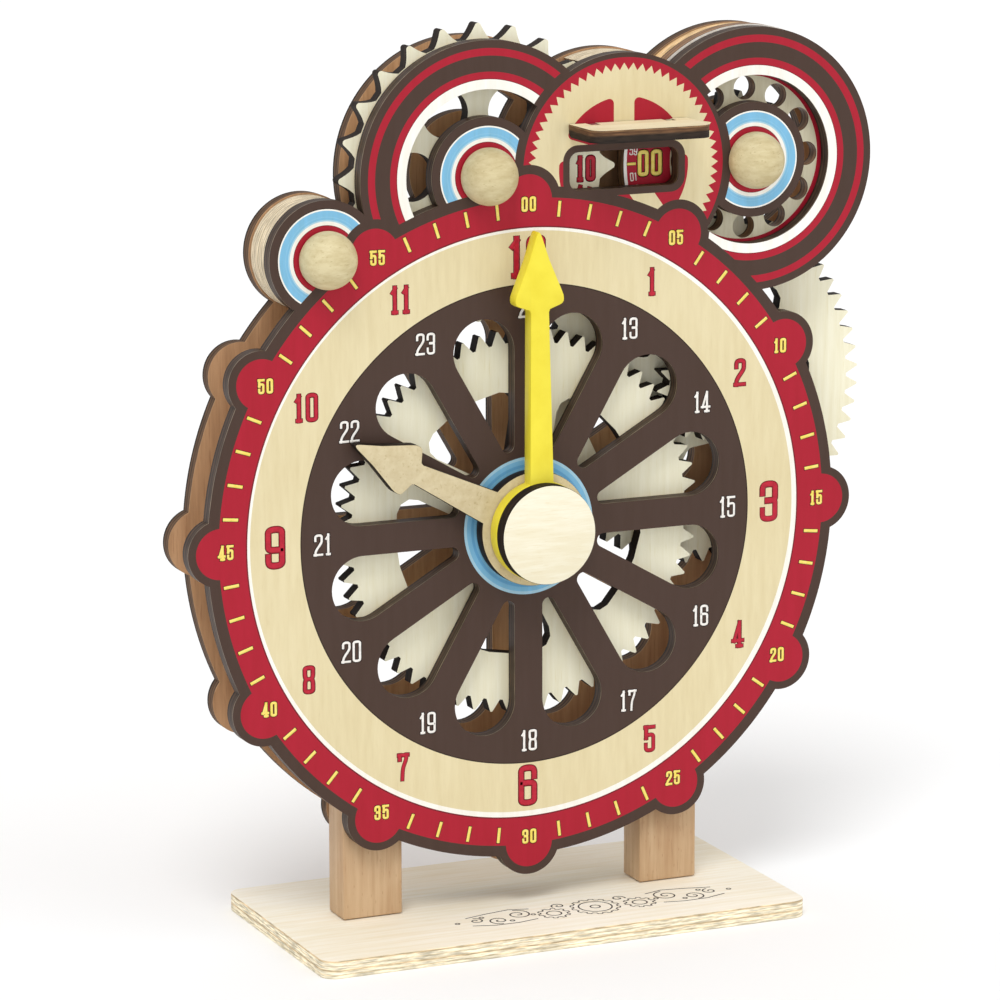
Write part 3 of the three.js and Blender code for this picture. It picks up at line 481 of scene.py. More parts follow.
turned_wood = solid_wood("turned_maple", "#d9cca2", "#bfae80", (0.16, 0.3, 0.5), (0.3, 0.8, 0.8), "#a08a5c")
yellow_enamel = enamel("yellow_enamel", "#f0e040", "#e8d634")
steel = zinc_steel()
red_ink = ink("red_ink", "#bd2338", "#ab1e31")
dark_red_ink = ink("dark_red_ink", DARK_RED, "#651521")
white_ink = ink("white_ink", "#f6f3ee", "#e6e1da")
yellow_ink = ink("yellow_ink", YELLOW, "#f0d75c")
outline_ink = ink("dark_outline_ink", "#4a1a1e", "#3a1418")
dark_ink = ink("dark_brown_ink", "#2c201b", "#231915")
black_ink = ink("black_stamp_ink", "#2a2422", "#3a3230", 0.55)


# ---- Making pieces ----
def linked(name, mesh):
    """An object for a mesh, in the scene."""
    obj = bpy.data.objects.new(name, mesh)
    bpy.context.scene.collection.objects.link(obj)
    return obj


def as_object(bm, name="working_shape"):
    """An object for a finished bmesh, which is used up."""
    mesh = bpy.data.meshes.new(name)
    bm.to_mesh(mesh)
    bm.free()
    return linked(name, mesh)


def settle(obj, name, body, material, replaces=(), origin=DIAL, crease=35.0):
    """Takes a shape from millimetres to its place, gives it its finish and fixes it to its body."""
    obj.name = name
    obj.data.name = name
    obj.data.transform(Matrix.Translation(origin) @ Matrix.Scale(MM, 4))
    if crease:
        obj.data.shade_smooth()
        obj.data.set_sharp_from_angle(angle=math.radians(crease))
    obj.data.materials.clear()
    obj.data.materials.append(material)
    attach(obj, body)
    if replaces:
        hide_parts(*replaces)
    return obj


def combine(shape, tool, operation):
    """Joins or cuts one shape with another, which is used up."""
    modifier = shape.modifiers.new("combine", "BOOLEAN")
    modifier.object = tool
    modifier.operation = operation
    modifier.solver = "MANIFOLD"
    evaluated = shape.evaluated_get(bpy.context.evaluated_depsgraph_get())
    mesh = bpy.data.meshes.new_from_object(evaluated)
    shape.modifiers.clear()
    shape.data = mesh
    bpy.data.objects.remove(tool)
    return shape


TO_Y = Matrix.Rotation(math.radians(90), 4, "X")


def discs(circles, front, back):
    """Round discs (x, z, radius) from front to back as one shape; the discs don't touch each other."""
    bm = bmesh.new()
    for x, z, radius in circles:
        middle = Matrix.Translation((x, (front + back) / 2, z))
        segments = max(32, 4 * round(6 * math.sqrt(radius)))
        bmesh.ops.create_cone(
            bm, cap_ends=True, segments=segments, radius1=radius, radius2=radius,
            depth=back - front, matrix=middle @ TO_Y,
        )
    return as_object(bm)


def clockwise(degrees, radius, centre=(0.0, 0.0)):
    """A point at an angle clockwise from straight up."""
    angle = math.radians(degrees)
    return centre[0] + radius * math.sin(angle), centre[1] + radius * math.cos(angle)


def verts_of(geometry):
    """The vertices among the mixed elements that a bmesh operator returns."""
    return [item for item in geometry if isinstance(item, bmesh.types.BMVert)]


def drop_cutter(front, back):
    """Twelve drop-shaped openings whose long sides run parallel to the spokes between them."""
    whole = bmesh.new()
    half = math.radians(180 / LOBES)
    inset = SPOKE_WIDTH / 2
    far = (DROP_OUTER + inset) / (1 + math.sin(half))
    near = (DROP_INNER - inset) / (1 - math.sin(half))
    for i in range(LOBES):
        one = bmesh.new()
        for reach in (far, near):
            x, z = clockwise(360 * (i + 0.5) / LOBES, reach)
            radius = reach * math.sin(half) - inset
            bmesh.ops.create_cone(
                one, cap_ends=False, segments=48, radius1=radius, radius2=radius,
                depth=back - front, matrix=Matrix.Translation((x, (front + back) / 2, z)) @ TO_Y,
            )
        bmesh.ops.delete(one, geom=one.edges[:], context="EDGES_FACES")
        hull = bmesh.ops.convex_hull(one, input=one.verts[:])
        spare = set(verts_of(hull["geom_interior"] + hull["geom_unused"]))
        bmesh.ops.delete(one, geom=list(spare), context="VERTS")
        bmesh.ops.recalc_face_normals(one, faces=one.faces)
        mesh = bpy.data.meshes.new("drop")
        one.to_mesh(mesh)
        one.free()
        whole.from_mesh(mesh)
        bpy.data.meshes.remove(mesh)
    return as_object(whole)


def slab(x, y, z, width, depth, height, corner=0.0, edges="Y", segments=5):
    """A block with the edges along one axis rounded, from its centre and sizes."""
    bm = bmesh.new()
    bmesh.ops.create_cube(bm, size=1.0, matrix=Matrix.Diagonal((width, depth, height, 1)))
    if corner:
        index = "XYZ".index(edges)
        along = [e for e in bm.edges if abs((e.verts[0].co - e.verts[1].co)[index]) > 1e-6]
        bmesh.ops.bevel(
            bm, geom=along, offset=corner, segments=segments, affect="EDGES", profile=0.5, material=-1,
        )
    bmesh.ops.translate(bm, verts=bm.verts, vec=(x, y, z))
    return bm


PAST = 2.0  # cutters run this far past the faces they cut


def drill(shape, circles, front, back):
    """Cuts round holes (x, z, radius) right through a shape that runs from front to back."""
    return combine(shape, discs(circles, front - PAST, back + PAST), "DIFFERENCE")


def clock_plate(front, back):
    """Outline of a plate with its drops and ring openings."""
    core = discs([(0, 0, DIAL_RADIUS)], front, back)
    lobes = [(*clockwise(360 * i / LOBES, LOBE_CIRCLE), LOBE_RADIUS) for i in range(LOBES)]
    combine(core, discs(lobes, front, back), "UNION")
    combine(core, discs([(*DISPLAY, DISPLAY_RADIUS)], front, back), "UNION")
    wheels = discs([(*STAR_AXIS, WHEEL_RADIUS), (*DISC_AXIS, WHEEL_RADIUS)], front, back)
    opening = discs([(*STAR_AXIS, RING_OUTER), (*DISC_AXIS, RING_OUTER)], front - PAST, back + PAST)
    hubs = [(*STAR_AXIS, RING_INNER), (*DISC_AXIS, RING_INNER)]
    combine(opening, discs(hubs, front - 2 * PAST, back + 2 * PAST), "DIFFERENCE")
    combine(wheels, opening, "DIFFERENCE")
    combine(core, wheels, "UNION")
    combine(core, discs([(*SETTING_AXIS, SETTING_RADIUS)], front, back), "UNION")
    combine(core, drop_cutter(front - PAST, back + PAST), "DIFFERENCE")
    return core


def spun(profile, centre, segments=48):
    """A turned shape about the Y axis from (radius, y) pairs that start and end on the axis."""
    bm = bmesh.new()
    verts = [bm.verts.new((radius, y, 0)) for radius, y in profile]
    edges = [bm.edges.new(pair) for pair in zip(verts, verts[1:])]
    bmesh.ops.spin(
        bm, geom=verts + edges, cent=(0, 0, 0), axis=(0, 1, 0), angle=math.tau, steps=segments,
        use_merge=True,
    )
    bmesh.ops.remove_doubles(bm, verts=bm.verts, dist=1e-4)
    bmesh.ops.recalc_face_normals(bm, faces=bm.faces)
    bmesh.ops.translate(bm, verts=bm.verts, vec=(centre[0], 0, centre[1]))
    return as_object(bm)


def draw_out(bm, face, vec):
    """Draws a face out into a solid."""
    pulled = bmesh.ops.extrude_face_region(bm, geom=[face])
    bmesh.ops.translate(bm, verts=verts_of(pulled["geom"]), vec=vec)


def sheet_shape(outline, front, back, ease=0.0):
    """A flat outline in x and z given thickness, with its long edges eased."""
    bm = bmesh.new()
    draw_out(bm, bm.faces.new([bm.verts.new((x, front, z)) for x, z in outline]), (0, back - front, 0))
    if ease:
        long_edges = [e for e in bm.edges if abs(e.verts[0].co.y - e.verts[1].co.y) < 1e-6]
        bmesh.ops.bevel(
            bm, geom=long_edges, offset=ease, segments=2, affect="EDGES", profile=0.5,
            material=-1, clamp_overlap=True,
        )
    bmesh.ops.recalc_face_normals(bm, faces=bm.faces)
    return as_object(bm)


# ---- Digits ----
# Narrow block digits on a grid one wide and two high. Each stroke is the control line of a smooth curve,
# and two strokes meet where a corner is sharp. A stroke that ends where it starts is closed.
SIX = [[
    (1, 1.5), (1, 2), (0, 2), (0, 1.6), (0, 0.4), (0, 0), (1, 0), (1, 0.4), (1, 0.75), (1, 1.14),
    (0.12, 1.14),
]]
DIGITS = {
    "0": [[(0, 1.6), (0, 2), (1, 2), (1, 1.6), (1, 0.4), (1, 0), (0, 0), (0, 0.4), (0, 1.6)]],
    "1": [[(0.6, 2), (0.6, 0)], [(0.62, 1.9), (0.1, 1.62)], [(0.28, 0), (0.92, 0)]],
    "2": [[(0, 1.5), (0, 2), (1, 2), (1, 1.62), (1, 1.25), (0.04, 0.42), (0, 0)], [(-0.12, 0), (1.02, 0)]],
    "3": [[(0, 1.5), (0, 2), (1, 2), (1, 1.6), (1, 1.4), (1, 1.05), (0.4, 1.05)],
          [(0.4, 1.05), (1, 1.05), (1, 0.72), (1, 0.4), (1, 0), (0, 0), (0, 0.5)]],
    "4": [[(0.7, 2), (0.0, 0.46)], [(-0.12, 0.46), (1.1, 0.46)], [(0.72, 2), (0.72, 0)],
          [(0.46, 0), (0.98, 0)]],
    "5": [[(1, 2), (-0.06, 2)], [(0.04, 2), (0.04, 1.1)],
          [(0.04, 1.12), (0.2, 1.34), (1, 1.34), (1, 0.9), (1, 0.4), (1, 0), (0, 0), (0, 0.48)]],
    "6": SIX,
    "7": [[(0, 2), (1.06, 2)], [(0.06, 2), (0.06, 1.66)], [(0.94, 2), (0.9, 1.6), (0.46, 0.9), (0.4, 0)]],
    "8": [[(0, 1.7), (0, 2), (1, 2), (1, 1.7), (1, 1.3), (0.84, 1.05), (1, 0.8), (1, 0.35), (1, 0), (0, 0),
           (0, 0.35), (0, 0.8), (0.16, 1.05), (0, 1.3), (0, 1.7)], [(0.3, 1.05), (0.7, 1.05)]],
    "9": [[(1 - x, 2 - z) for x, z in SIX[0]]],
}
NARROW_ONE = 0.72  # how wide a 1 is beside the other digits


def smoothed(line, rounds):
    """Cuts a line's corners again and again until it is a curve."""
    closed = line[0] == line[-1]
    for _ in range(rounds if len(line) > 2 else 0):
        cut = []
        for (x0, z0), (x1, z1) in zip(line, line[1:]):
            cut += [((1 - t) * x0 + t * x1, (1 - t) * z0 + t * z1) for t in (0.25, 0.75)]
        line = [*cut, cut[0]] if closed else [line[0], *cut[1:-1], line[-1]]
    return line


def number_lines(text, centre, height, digit_width, stroke, turn=0.0, rounds=2):
    """Centre lines of a number about a point, turned clockwise by turn degrees."""
    gap = stroke * 0.42
    widths = [digit_width * (NARROW_ONE if digit == "1" else 1.0) for digit in text]
    start = -(sum(widths) + gap * (len(text) - 1)) / 2
    cosine, sine = math.cos(math.radians(turn)), math.sin(math.radians(turn))
    lines = []
    for digit, width in zip(text, widths):
        for line in DIGITS[digit]:
            placed = []
            for gx, gz in smoothed(line, rounds):
                x = start + stroke / 2 + gx * (width - stroke)
                z = -height / 2 + stroke / 2 + gz / 2 * (height - stroke)
                placed.append((centre[0] + x * cosine + z * sine, centre[1] - x * sine + z * cosine))
            lines.append(placed)
        start += width + gap
    return lines


def lengthened(line, by):
    """An open line with both ends carried on; a closed one stays as it is."""
    if math.dist(line[0], line[-1]) < 1e-6:
        return line
    ends = []
    for (x0, z0), (x1, z1) in ((line[0], line[1]), (line[-1], line[-2])):
        share = by / math.hypot(x0 - x1, z0 - z1)
        ends.append((x0 + (x0 - x1) * share, z0 + (z0 - z1) * share))
    return [ends[0], *line[1:-1], ends[1]]


def ink_lines(name, lines, stroke, lift, body, material, face=0.0, origin=DIAL):
    """Flat strokes of ink along centre lines, lifted off the face by a few hundredths of a millimetre."""
    curve = bpy.data.curves.new(name, "CURVE")
    curve.dimensions = "3D"
    curve.bevel_depth = stroke / 2
    curve.bevel_resolution = 1
    curve.use_fill_caps = True
    for line in lines:
        closed = math.dist(line[0], line[-1]) < 1e-6
        points = line[:-1] if closed else line
        spline = curve.splines.new("POLY")
        spline.points.add(len(points) - 1)
        for point, (x, z) in zip(spline.points, points):
            point.co = (x, 0.0, z, 1.0)
        spline.use_cyclic_u = closed
    drawn = linked(name, curve)
    mesh = bpy.data.meshes.new_from_object(drawn.evaluated_get(bpy.context.evaluated_depsgraph_get()))
    bpy.data.objects.remove(drawn)
    obj = linked(name, mesh)
    flatten = Matrix.Diagonal((1.0, 0.04 / stroke, 1.0, 1.0))
    obj.data.transform(Matrix.Translation((0, face - lift, 0)) @ flatten)
    return settle(obj, name, body, material, origin=origin, crease=0)


RIM_LIFT, INK_LIFT = 0.02, 0.06  # how far an outline and the ink in it stand off the wood


def outlined(name, lines, stroke, rim, body, fill, rim_ink, face=0.0):
    """A number or tick with a thin dark rim round it; stroke is the whole width."""
    outer = [lengthened(line, stroke / 2) for line in lines]
    ink_lines(name + "_rim", outer, stroke, RIM_LIFT, body, rim_ink, face)
    inner = [lengthened(line, stroke / 2 - rim) for line in lines]
    ink_lines(name, inner, stroke - 2 * rim, INK_LIFT, body, fill, face)


# ---- Plates ----
plate_front, plate_back = depth_of("front_plate")
panel = clock_plate(plate_front, plate_back)
window = slab(WINDOW[0], (plate_front + plate_back) / 2, WINDOW[1],
              WINDOW_SIZE[0], plate_back - plate_front + PAST, WINDOW_SIZE[1], WINDOW_CORNER)
combine(panel, as_object(window), "DIFFERENCE")
shaft_holes = [(*STAR_AXIS, SHAFT_HOLE), (*DISC_AXIS, SHAFT_HOLE), (*SETTING_AXIS, SHAFT_HOLE)]
drill(panel, [(0, 0, SLEEVE_HOLE), *shaft_holes], plate_front, plate_back)
settle(panel, "printed_front_plate", "stand", dial_print, ["front_plate"])

rear_front, rear_back = depth_of("rear_plate")
panel = clock_plate(rear_front, rear_back)
drill(panel, [(0, 0, SHAFT_HOLE), *shaft_holes], rear_front, rear_back)
screw_places = []
for i in range(1, 6):
    low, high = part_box(f"plate_screw_{i}")
    middle = ((low + high) / 2 - DIAL) / MM
    screw_places.append((middle.x, middle.z))
screw_holes = [(*place, SCREW_HOLE) for place in screw_places]
drill(panel, [(*axis_of("transfer_spin"), SHAFT_FIT), *screw_holes], rear_front, rear_back)
settle(panel, "brown_rear_plate", "stand", brown_plate, ["rear_plate"])

# ---- Spacers ----
for ply in ("front", "rear"):
    near, far = depth_of(f"ring_spacer_{ply}")
    ring = discs([(*SETTING_AXIS, SETTING_RADIUS - 0.5)], near, far)
    drill(ring, [(*SETTING_AXIS, SETTING_RADIUS - 3.5)], near, far)
    drill(ring, [(*STAR_AXIS, STAR_CLEARANCE)], near, far)
    settle(ring, f"setting_ring_{ply}", "stand", pale_core, [f"ring_spacer_{ply}"])
    crown = discs([(*DISPLAY, DISPLAY_RADIUS - 0.5)], near, far)
    floor_cut = slab(DISPLAY[0], (near + far) / 2, DISPLAY[1] - 32, 90, far - near + PAST, 100)
    combine(crown, as_object(floor_cut), "DIFFERENCE")
    for hole in ((*STAR_AXIS, STAR_CLEARANCE), (*DISC_AXIS, COUNTER_RADIUS + 1), screw_holes[4]):
        drill(crown, [hole], near, far)
    settle(crown, f"crown_block_{ply}", "stand", pale_core, [f"crown_spacer_{ply}"])

near, far = depth_of("disc_guard")
guard = discs([(*DISC_AXIS, COUNTER_RADIUS - 0.5)], near, far)
drill(guard, [(*DISC_AXIS, COUNTER_RADIUS - 6.0)], near, far)
# The strip stays only at the upper right: a wedge takes the rest of the ring away.
wedge = [DISC_AXIS, *(clockwise(degrees, 150, DISC_AXIS) for degrees in (70, 150, 230, 310))]
combine(guard, sheet_shape(wedge, near - PAST, far + PAST), "DIFFERENCE")
drill(guard, [(*STAR_AXIS, STAR_CLEARANCE)], near, far)
settle(guard, "disc_guard_strip", "stand", pale_block, ["disc_guard"])

# ---- Base and legs ----
low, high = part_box("base_plate")
size = (high - low) / MM
middle = (low + high) / 2
BASE_CORNER, BASE_EASE = 5.0, 0.35
SCREW_HEAD_RADIUS, SCREW_HEAD_DEPTH = 3.45, 2.05
base = slab(0, 0, 0, size.x, size.y, size.z, BASE_CORNER, "Z", 8)
rims = [e for e in base.edges if abs(e.verts[0].co.z - e.verts[1].co.z) < 1e-6]
bmesh.ops.bevel(base, geom=rims, offset=BASE_EASE, segments=2, affect="EDGES", profile=0.5, material=-1)
base = as_object(base)
for i in range(1, 5):
    screw_low, screw_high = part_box(f"base_screw_{i}")
    at = ((screw_low + screw_high) / 2 - middle) / MM
    for radius, top in ((SCREW_HEAD_RADIUS, SCREW_HEAD_DEPTH), (SCREW_HOLE, size.z + PAST)):
        hole = bmesh.new()
        depth = top + PAST
        bmesh.ops.create_cone(
            hole, cap_ends=True, segments=32, radius1=radius, radius2=radius, depth=depth,
            matrix=Matrix.Translation((at.x, at.y, -size.z / 2 - PAST + depth / 2)),
        )
        combine(base, as_object(hole), "DIFFERENCE")
settle(base, "plywood_base", "stand", base_wood, ["base_plate"], origin=middle)

for side in ("left", "right"):
    low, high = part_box(f"{side}_leg")
    size = (high - low) / MM
    leg = slab(0, 0, 0, size.x, size.y, size.z)
    bmesh.ops.bevel(leg, geom=leg.edges, offset=0.5, segments=3, affect="EDGES", profile=0.5, material=-1)
    settle(as_object(leg), f"{side}_beech_leg", "stand", beech, [f"{side}_leg"],
           origin=(low + high) / 2)

# ---- Knobs, hub cap and collars ----
KNOB_RADIUS, KNOB_CENTRE, KNOB_SOCKET = 9.0, 2.2, 6.3
KNOB_STEPS = 24
knob_back = depth_of("star_knob")[1]


def knob_profile():
    """A turned ball with a small flat back and a blind socket for its shaft."""
    start = math.asin((KNOB_CENTRE + knob_back) / KNOB_RADIUS)
    ball = [(SHAFT_FIT, knob_back - KNOB_SOCKET), (SHAFT_FIT, knob_back)]
    for i in range(KNOB_STEPS + 1):
        angle = start - (math.pi / 2 + start) * i / KNOB_STEPS
        ball.append((max(0.0, KNOB_RADIUS * math.cos(angle)), -KNOB_CENTRE + KNOB_RADIUS * math.sin(angle)))
    ball[-1] = (0.0, -KNOB_CENTRE - KNOB_RADIUS)
    return [(0.0, knob_back - KNOB_SOCKET), *ball]


collar_front, collar_back = depth_of("star_collar")
COLLAR_PROFILE = [
    (SHAFT_FIT, collar_front), (5.7, collar_front), (6.0, collar_front + 0.3), (6.0, collar_back - 0.6),
    (5.82, collar_back - 0.18), (5.4, collar_back), (SHAFT_FIT, collar_back), (SHAFT_FIT, collar_front),
]
KNOBS = (("star", "hour_star", STAR_AXIS), ("disc", "minute_counter", DISC_AXIS),
         ("setting", "setting", SETTING_AXIS))
for wheel, body, axis in KNOBS:
    knob, collar = spun(knob_profile(), axis, 64), spun(COLLAR_PROFILE, axis)
    settle(knob, f"{wheel}_ball_knob", body, turned_wood, [f"{wheel}_knob"])
    settle(collar, f"{wheel}_ring_collar", body, turned_wood, [f"{wheel}_collar"])
collar = spun(COLLAR_PROFILE, (0, 0))
settle(collar, "arbor_ring_collar", "minute_train", turned_wood, ["minute_arbor_collar"])

cap_front, cap_back = depth_of("hub_cap")
CAP_PROFILE = [
    (0.0, cap_front), (15.3, cap_front), (15.58, cap_front + 0.12), (15.7, cap_front + 0.4), (15.7, cap_back),
    (SHAFT_FIT, cap_back), (SHAFT_FIT, cap_back - 3.0), (0.0, cap_back - 3.0),
]
settle(spun(CAP_PROFILE, (0, 0), 96), "round_hub_cap", "minute_train", cap_wood, ["hub_cap"])

# ---- Hands ----


def arrow_outline(boss, length, head_base, shoulder, head, stem):
    """Round boss, straight stem and arrow head, pointing up; the corners of the head are rounded."""
    right = [(stem[1], head_base), (stem[1] + 0.35, head_base + 0.9), (head * 0.84, shoulder - 1.0),
             (head * 0.93, shoulder - 0.6), (head * 0.99, shoulder + 0.1), (head, shoulder + 0.9),
             (head * 0.985, shoulder + 2.0), (head * 0.92, shoulder + 3.4),
             (head * 0.42, shoulder + (length - shoulder) * 0.6), (0.9, length - 1.2), (0.45, length - 0.3)]
    left = [(-x, z) for x, z in reversed(right)]
    joint = math.asin(stem[0] / boss)
    round_boss = []
    for i in range(81):
        angle = joint + (math.tau - 2 * joint) * i / 80
        round_boss.append((-boss * math.sin(angle), boss * math.cos(angle)))
    return [*round_boss, *right, (0.0, length), *left]


def make_hand(node, name, body, material, slot, turn, bore, **sizes):
    """A hand with its bore, turned clockwise by turn degrees."""
    front, back = depth_of(node)
    blade = sheet_shape(arrow_outline(**sizes), front, back, 0.3)
    drill(blade, [(0, 0, bore)], front, back)
    blade.data.transform(Matrix.Rotation(math.radians(turn), 4, "Y"))
    return settle(blade, name, body, material, [node])


make_hand("hour_hand", "plywood_hour_hand", "hour_train", hand_wood, "birch_ply", -62.6, 5.25,
          boss=18.2, length=68, head_base=44.3, shoulder=47.5, head=8.1, stem=(5.4, 3.3))
make_hand("minute_hand", "yellow_minute_hand", "minute_train", yellow_enamel, "yellow_paint", -0.7, SHAFT_FIT,
          boss=15.8, length=94.3, head_base=69.2, shoulder=72.3, head=8.2, stem=(4.0, 3.1))

# ---- Star wheel and minute disc ----
star_front, star_back = depth_of("star_wheel")
STAR_TEETH = 24
HOLE_CIRCLE = 22  # radius of the ring of holes in either wheel
tooth_side = [(4.0, 41.6), (2.95, 42.7), (2.1, 43.9), (1.35, 45.2), (0.8, 46.2), (0.3, 46.5)]
star_outline = []
for i in range(STAR_TEETH):
    middle = math.tau * i / STAR_TEETH
    for x, reach in [(-x, r) for x, r in tooth_side] + tooth_side[::-1]:
        angle = middle + math.asin(x / reach)
        star_outline.append(clockwise(math.degrees(angle), reach, STAR_AXIS))
star = sheet_shape(star_outline, star_front, star_back)
holes = [(*clockwise(30 + 60 * i, HOLE_CIRCLE, STAR_AXIS), 7.6) for i in range(6)]
drill(star, [*holes, (*STAR_AXIS, SHAFT_FIT)], star_front, star_back)
settle(star, "hour_star_wheel", "hour_star", bare_gear, ["star_wheel"])

disc_front, disc_back = depth_of("minute_disc")
disc = discs([(*DISC_AXIS, COUNTER_RADIUS)], disc_front, disc_back)
holes = [(*clockwise(30 * i, HOLE_CIRCLE, DISC_AXIS), 3.8) for i in range(12)]
drill(disc, [*holes, (*DISC_AXIS, SHAFT_FIT)], disc_front, disc_back)
settle(disc, "minute_counter_disc", "minute_counter", counter_print, ["minute_disc"])

# ---- Numbers ----
NUMBER_SHIFT = (-0.4, 0.5)  # the numbers are printed a little off centre, as the bare ring is
for hour in range(1, 13):
    large = hour % 3 == 0
    height, width, stroke = (13.7, 6.8, 2.3) if large else (9.3, 4.3, 1.65)
    place = clockwise(30 * hour, 84.7 if large else 85.5, NUMBER_SHIFT)
    lines = number_lines(str(hour), place, height, width, stroke, rounds=3)
    outlined(f"hour_number_{hour}", lines, stroke, 0.22, "stand", red_ink, dark_red_ink)
day_hours = []
for hour in range(13, 25):
    day_hours += number_lines(str(hour), clockwise(30 * (hour - 12), 69.5), 7.1, 3.1, 1.0)
outlined("day_hour_numbers", day_hours, 1.3, 0.24, "stand", white_ink, dark_ink)
minutes = []
for minute in range(0, 60, 5):
    minutes += number_lines(f"{minute:02d}", clockwise(6 * minute, 101.3, (0.1, 0.3)), 4.9, 2.35, 1.0)
outlined("minute_numbers", minutes, 1.3, 0.2, "stand", yellow_ink, outline_ink)
ticks = [[clockwise(6 * m, 98.2), clockwise(6 * m, 102.0)] for m in range(60) if m % 5]
outlined("minute_ticks", ticks, 1.55, 0.2, "stand", yellow_ink, outline_ink)

star_numbers = []
for hour in range(1, 25):
    turn = 15 * (hour - 10)
    star_numbers += number_lines(str(hour), clockwise(90.9 + turn, 36.6, STAR_AXIS), 8.4, 3.5, 1.6, turn=turn)
outlined("star_hour_numbers", star_numbers, 1.85, 0.17, "hour_star", red_ink, dark_red_ink,
         star_front)
fives, singles, dashes = [], [], []
for minute in range(60):
    turn = -6 * minute
    if minute % 5:
        place = clockwise(270 + turn, 38.9, DISC_AXIS)
        singles += number_lines(f"{minute:02d}", place, 2.8, 1.3, 0.4, turn=turn, rounds=1)
    else:
        place = clockwise(270 + turn, 33.0, DISC_AXIS)
        fives += number_lines(f"{minute:02d}", place, 8.6, 4.0, 1.5, turn=turn)
        dashes.append([clockwise(270 + turn, reach, DISC_AXIS) for reach in (38.4, 40.4)])
for name, lines, stroke, rim in (("fives", fives, 1.85, 0.2), ("dashes", dashes, 1.3, 0.16)):
    outlined(f"counter_{name}", lines, stroke, rim, "minute_counter", yellow_ink, outline_ink,
             disc_front)
ink_lines("counter_minutes", singles, 0.42, 0.04, "minute_counter", white_ink, disc_front)

# ---- Flap ----
flap_low, flap_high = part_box("window_flap")
flap_middle = (flap_low + flap_high) / 2
width, reach, thick = ((flap_high - flap_low) / MM)
flap = bmesh.new()
half = width / 2
FLAP_CORNER = 4.5
outline = [(-half, reach / 2)]
for centre_x, first in ((-half + FLAP_CORNER, 180), (half - FLAP_CORNER, 270)):
    for i in range(9):
        angle = math.radians(first + 90 * i / 8)
        outline.append((centre_x + FLAP_CORNER * math.cos(angle),
                        -reach / 2 + FLAP_CORNER + FLAP_CORNER * math.sin(angle)))
outline.append((half, reach / 2))
draw_out(flap, flap.faces.new([flap.verts.new((x, y, -thick / 2)) for x, y in outline]), (0, 0, thick))
hinge_edge = [e for e in flap.edges
              if all(v.co.y > reach / 2 - 1e-4 and v.co.z < -thick / 2 + 1e-4 for v in e.verts)]
bmesh.ops.bevel(flap, geom=hinge_edge, offset=thick / 2, segments=6, affect="EDGES", profile=0.5, material=-1)
bmesh.ops.recalc_face_normals(flap, faces=flap.faces)
flap = as_object(flap)
for i in (1, 2):
    low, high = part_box(f"flap_eye_{i}")
    x = (((low + high) / 2 - flap_middle) / MM).x
    combine(flap, as_object(slab(x, reach / 2, 0, 3.2, 8.8, thick + PAST)), "DIFFERENCE")
pin_bore = bmesh.new()
bmesh.ops.create_cone(
    pin_bore, cap_ends=True, segments=24, radius1=1.1, radius2=1.1, depth=34.6,
    matrix=Matrix.Translation((0, reach / 2 - thick / 2, 0)) @ Matrix.Rotation(math.radians(90), 4, "Y"),
)
combine(flap, as_object(pin_bore), "DIFFERENCE")
settle(flap, "plywood_flap", "flap", flap_wood, ["window_flap"], origin=flap_middle)

# ---- CAD pieces that keep their own shape ----
GEARS = ("hour_wheel", "transfer_wheel", "transfer_pinion", "minute_pinion", "disc_pinion", "setting_wheel")
SHAFTS = ("hour_sleeve", "minute_arbor", "transfer_axle", "star_shaft", "disc_shaft", "setting_shaft")
HARDWARE = ("flap_pin", "flap_eye_1", "flap_eye_2", *(f"base_screw_{i}" for i in range(1, 5)),
            *(f"plate_screw_{i}" for i in range(1, 6)))
for nodes, material in ((GEARS, bare_gear), (SHAFTS, beech), (HARDWARE, steel)):
    for node in nodes:
        frame["nodes"][node].data.materials.clear()
        frame["nodes"][node].data.materials.append(material)

# ---- Ornament on the base ----
base_low, base_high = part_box("base_plate")


def spiral(x, y, radius, turns, start, hand):
    """A scroll that winds in to its centre."""
    points = []
    steps = int(22 * turns)
    for i in range(steps + 1):
        share = i / steps
        angle = math.radians(start) + hand * math.tau * turns * share
        reach = radius * (1 - 0.88 * share)
        points.append((x + reach * math.cos(angle), y + reach * math.sin(angle)))
    return points


def toothed_ring(x, y, radius, teeth):
    """Outline of a small gear."""
    points = []
    for i in range(teeth):
        for offset, reach in ((-0.3, radius - 0.9), (-0.18, radius), (0.18, radius), (0.3, radius - 0.9)):
            angle = math.tau * (i + offset) / teeth
            points.append((x + reach * math.cos(angle), y + reach * math.sin(angle)))
    return [*points, points[0]]


def plain_ring(x, y, radius, sides=20):
    """A thin circle."""
    angles = [math.tau * i / sides for i in range(sides)]
    points = [(x + radius * math.cos(angle), y + radius * math.sin(angle)) for angle in angles]
    return [*points, points[0]]


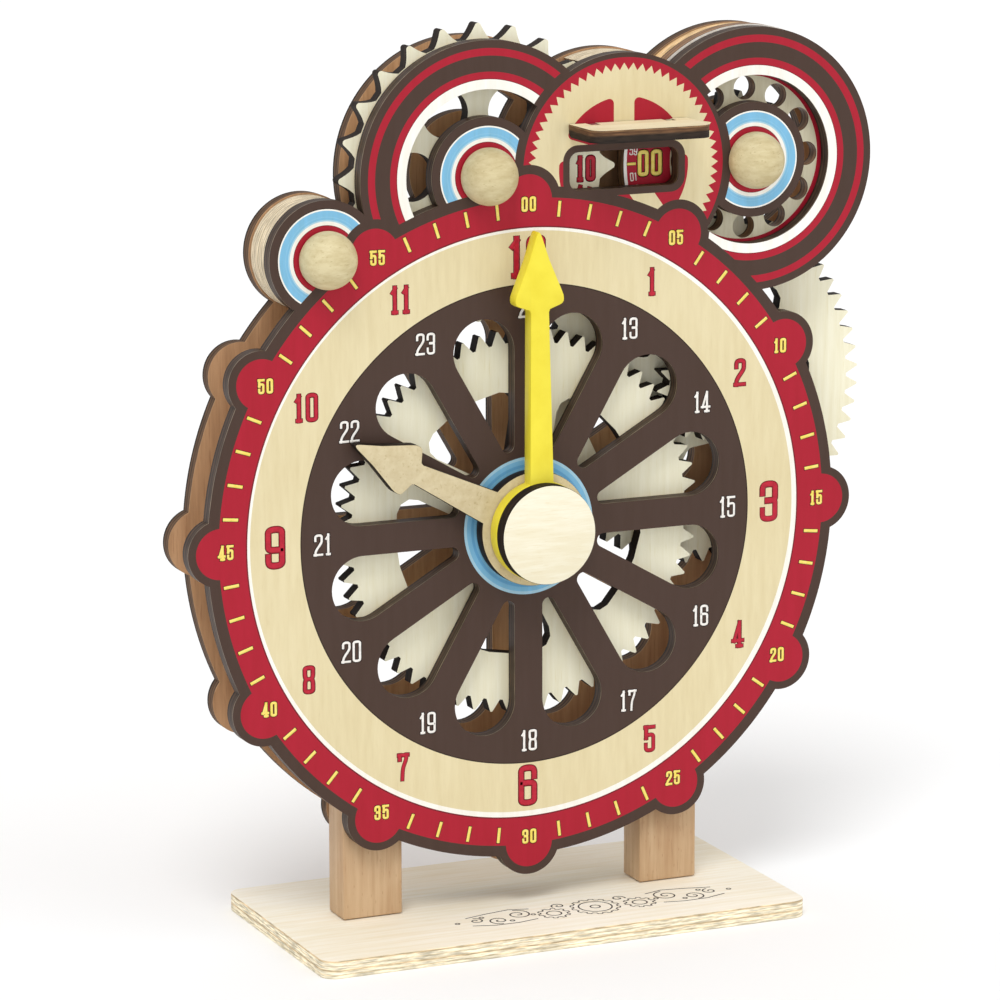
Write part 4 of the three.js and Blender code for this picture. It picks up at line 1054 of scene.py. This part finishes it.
ornament = [toothed_ring(0, 0, 8.0, 14), plain_ring(0, 0, 5.4), plain_ring(0, 0, 1.6, 12)]
for hand in (-1, 1):
    ornament += [
        toothed_ring(hand * 15.0, -1.4, 5.2, 10), plain_ring(hand * 15.0, -1.4, 2.4, 14),
        spiral(hand * 26.0, 2.2, 4.4, 1.6, 90, hand), spiral(hand * 34.0, -1.6, 3.6, 1.5, 270, hand),
        spiral(hand * 41.0, 1.0, 2.6, 1.3, 90, hand),
        spiral(hand * 10.5, 5.4, 2.4, 1.3, 200 if hand < 0 else -20, hand),
        [(hand * 22.0, -4.6), (hand * 29.0, -6.0), (hand * 37.0, -5.8), (hand * 44.0, -3.6)],
        [(hand * 20.5, 6.2), (hand * 27.0, 8.0), (hand * 35.0, 6.6), (hand * 43.0, 4.6)],
    ]
    dots = ((47.5, 0.4), (30.2, -3.2), (38.0, 3.4), (21.5, 0.2))
    ornament += [plain_ring(hand * x, y, 0.7, 8) for x, y in dots]
ORNAMENT_X, ORNAMENT_FROM_FRONT, ORNAMENT_LIFT = 17.5 * MM, 20.5 * MM, 0.03 * MM
stamp = ink_lines("stamped_ornament", ornament, 0.55, 0.0, "stand", black_ink, origin=Vector())
lay = Matrix.Translation((ORNAMENT_X, base_low.y + ORNAMENT_FROM_FRONT, base_high.z + ORNAMENT_LIFT))
stamp.data.transform(lay @ Matrix.Rotation(math.radians(-90), 4, "X"))

# ---- Studio ----
floor_mesh = bmesh.new()
bmesh.ops.create_grid(floor_mesh, x_segments=1, y_segments=1, size=30.0)
floor = as_object(floor_mesh, "studio_floor")
floor.location.z = base_low.z
floor_material, _, floor_shader, *_ = new_material("pale_studio_floor", 0.9)
floor_shader.inputs["Base Color"].default_value = linear("#fbfbfb")
floor.data.materials.append(floor_material)

world = bpy.data.worlds.new("soft_studio")
world.use_nodes = True
sky = world.node_tree.nodes["Background"].inputs
sky["Color"].default_value = linear("#ffffff")
sky["Strength"].default_value = 0.74
bpy.context.scene.world = world


def soft_light(name, azimuth, elevation, strength, spread):
    """A wide sun-like light; azimuth 0 is in front of the dial and positive to its right."""
    lamp = bpy.data.lights.new(name, "SUN")
    lamp.energy = strength
    lamp.angle = math.radians(spread)
    light = linked(name, lamp)
    a, e = math.radians(azimuth), math.radians(elevation)
    source = Vector((math.sin(a) * math.cos(e), -math.cos(a) * math.cos(e), math.sin(e)))
    light.rotation_euler = source.to_track_quat("Z", "Y").to_euler()


soft_light("key_light", -32, 55, 1.2, 24)
soft_light("fill_light", 40, 35, 0.35, 50)
bpy.context.scene.view_settings.view_transform = "Standard"
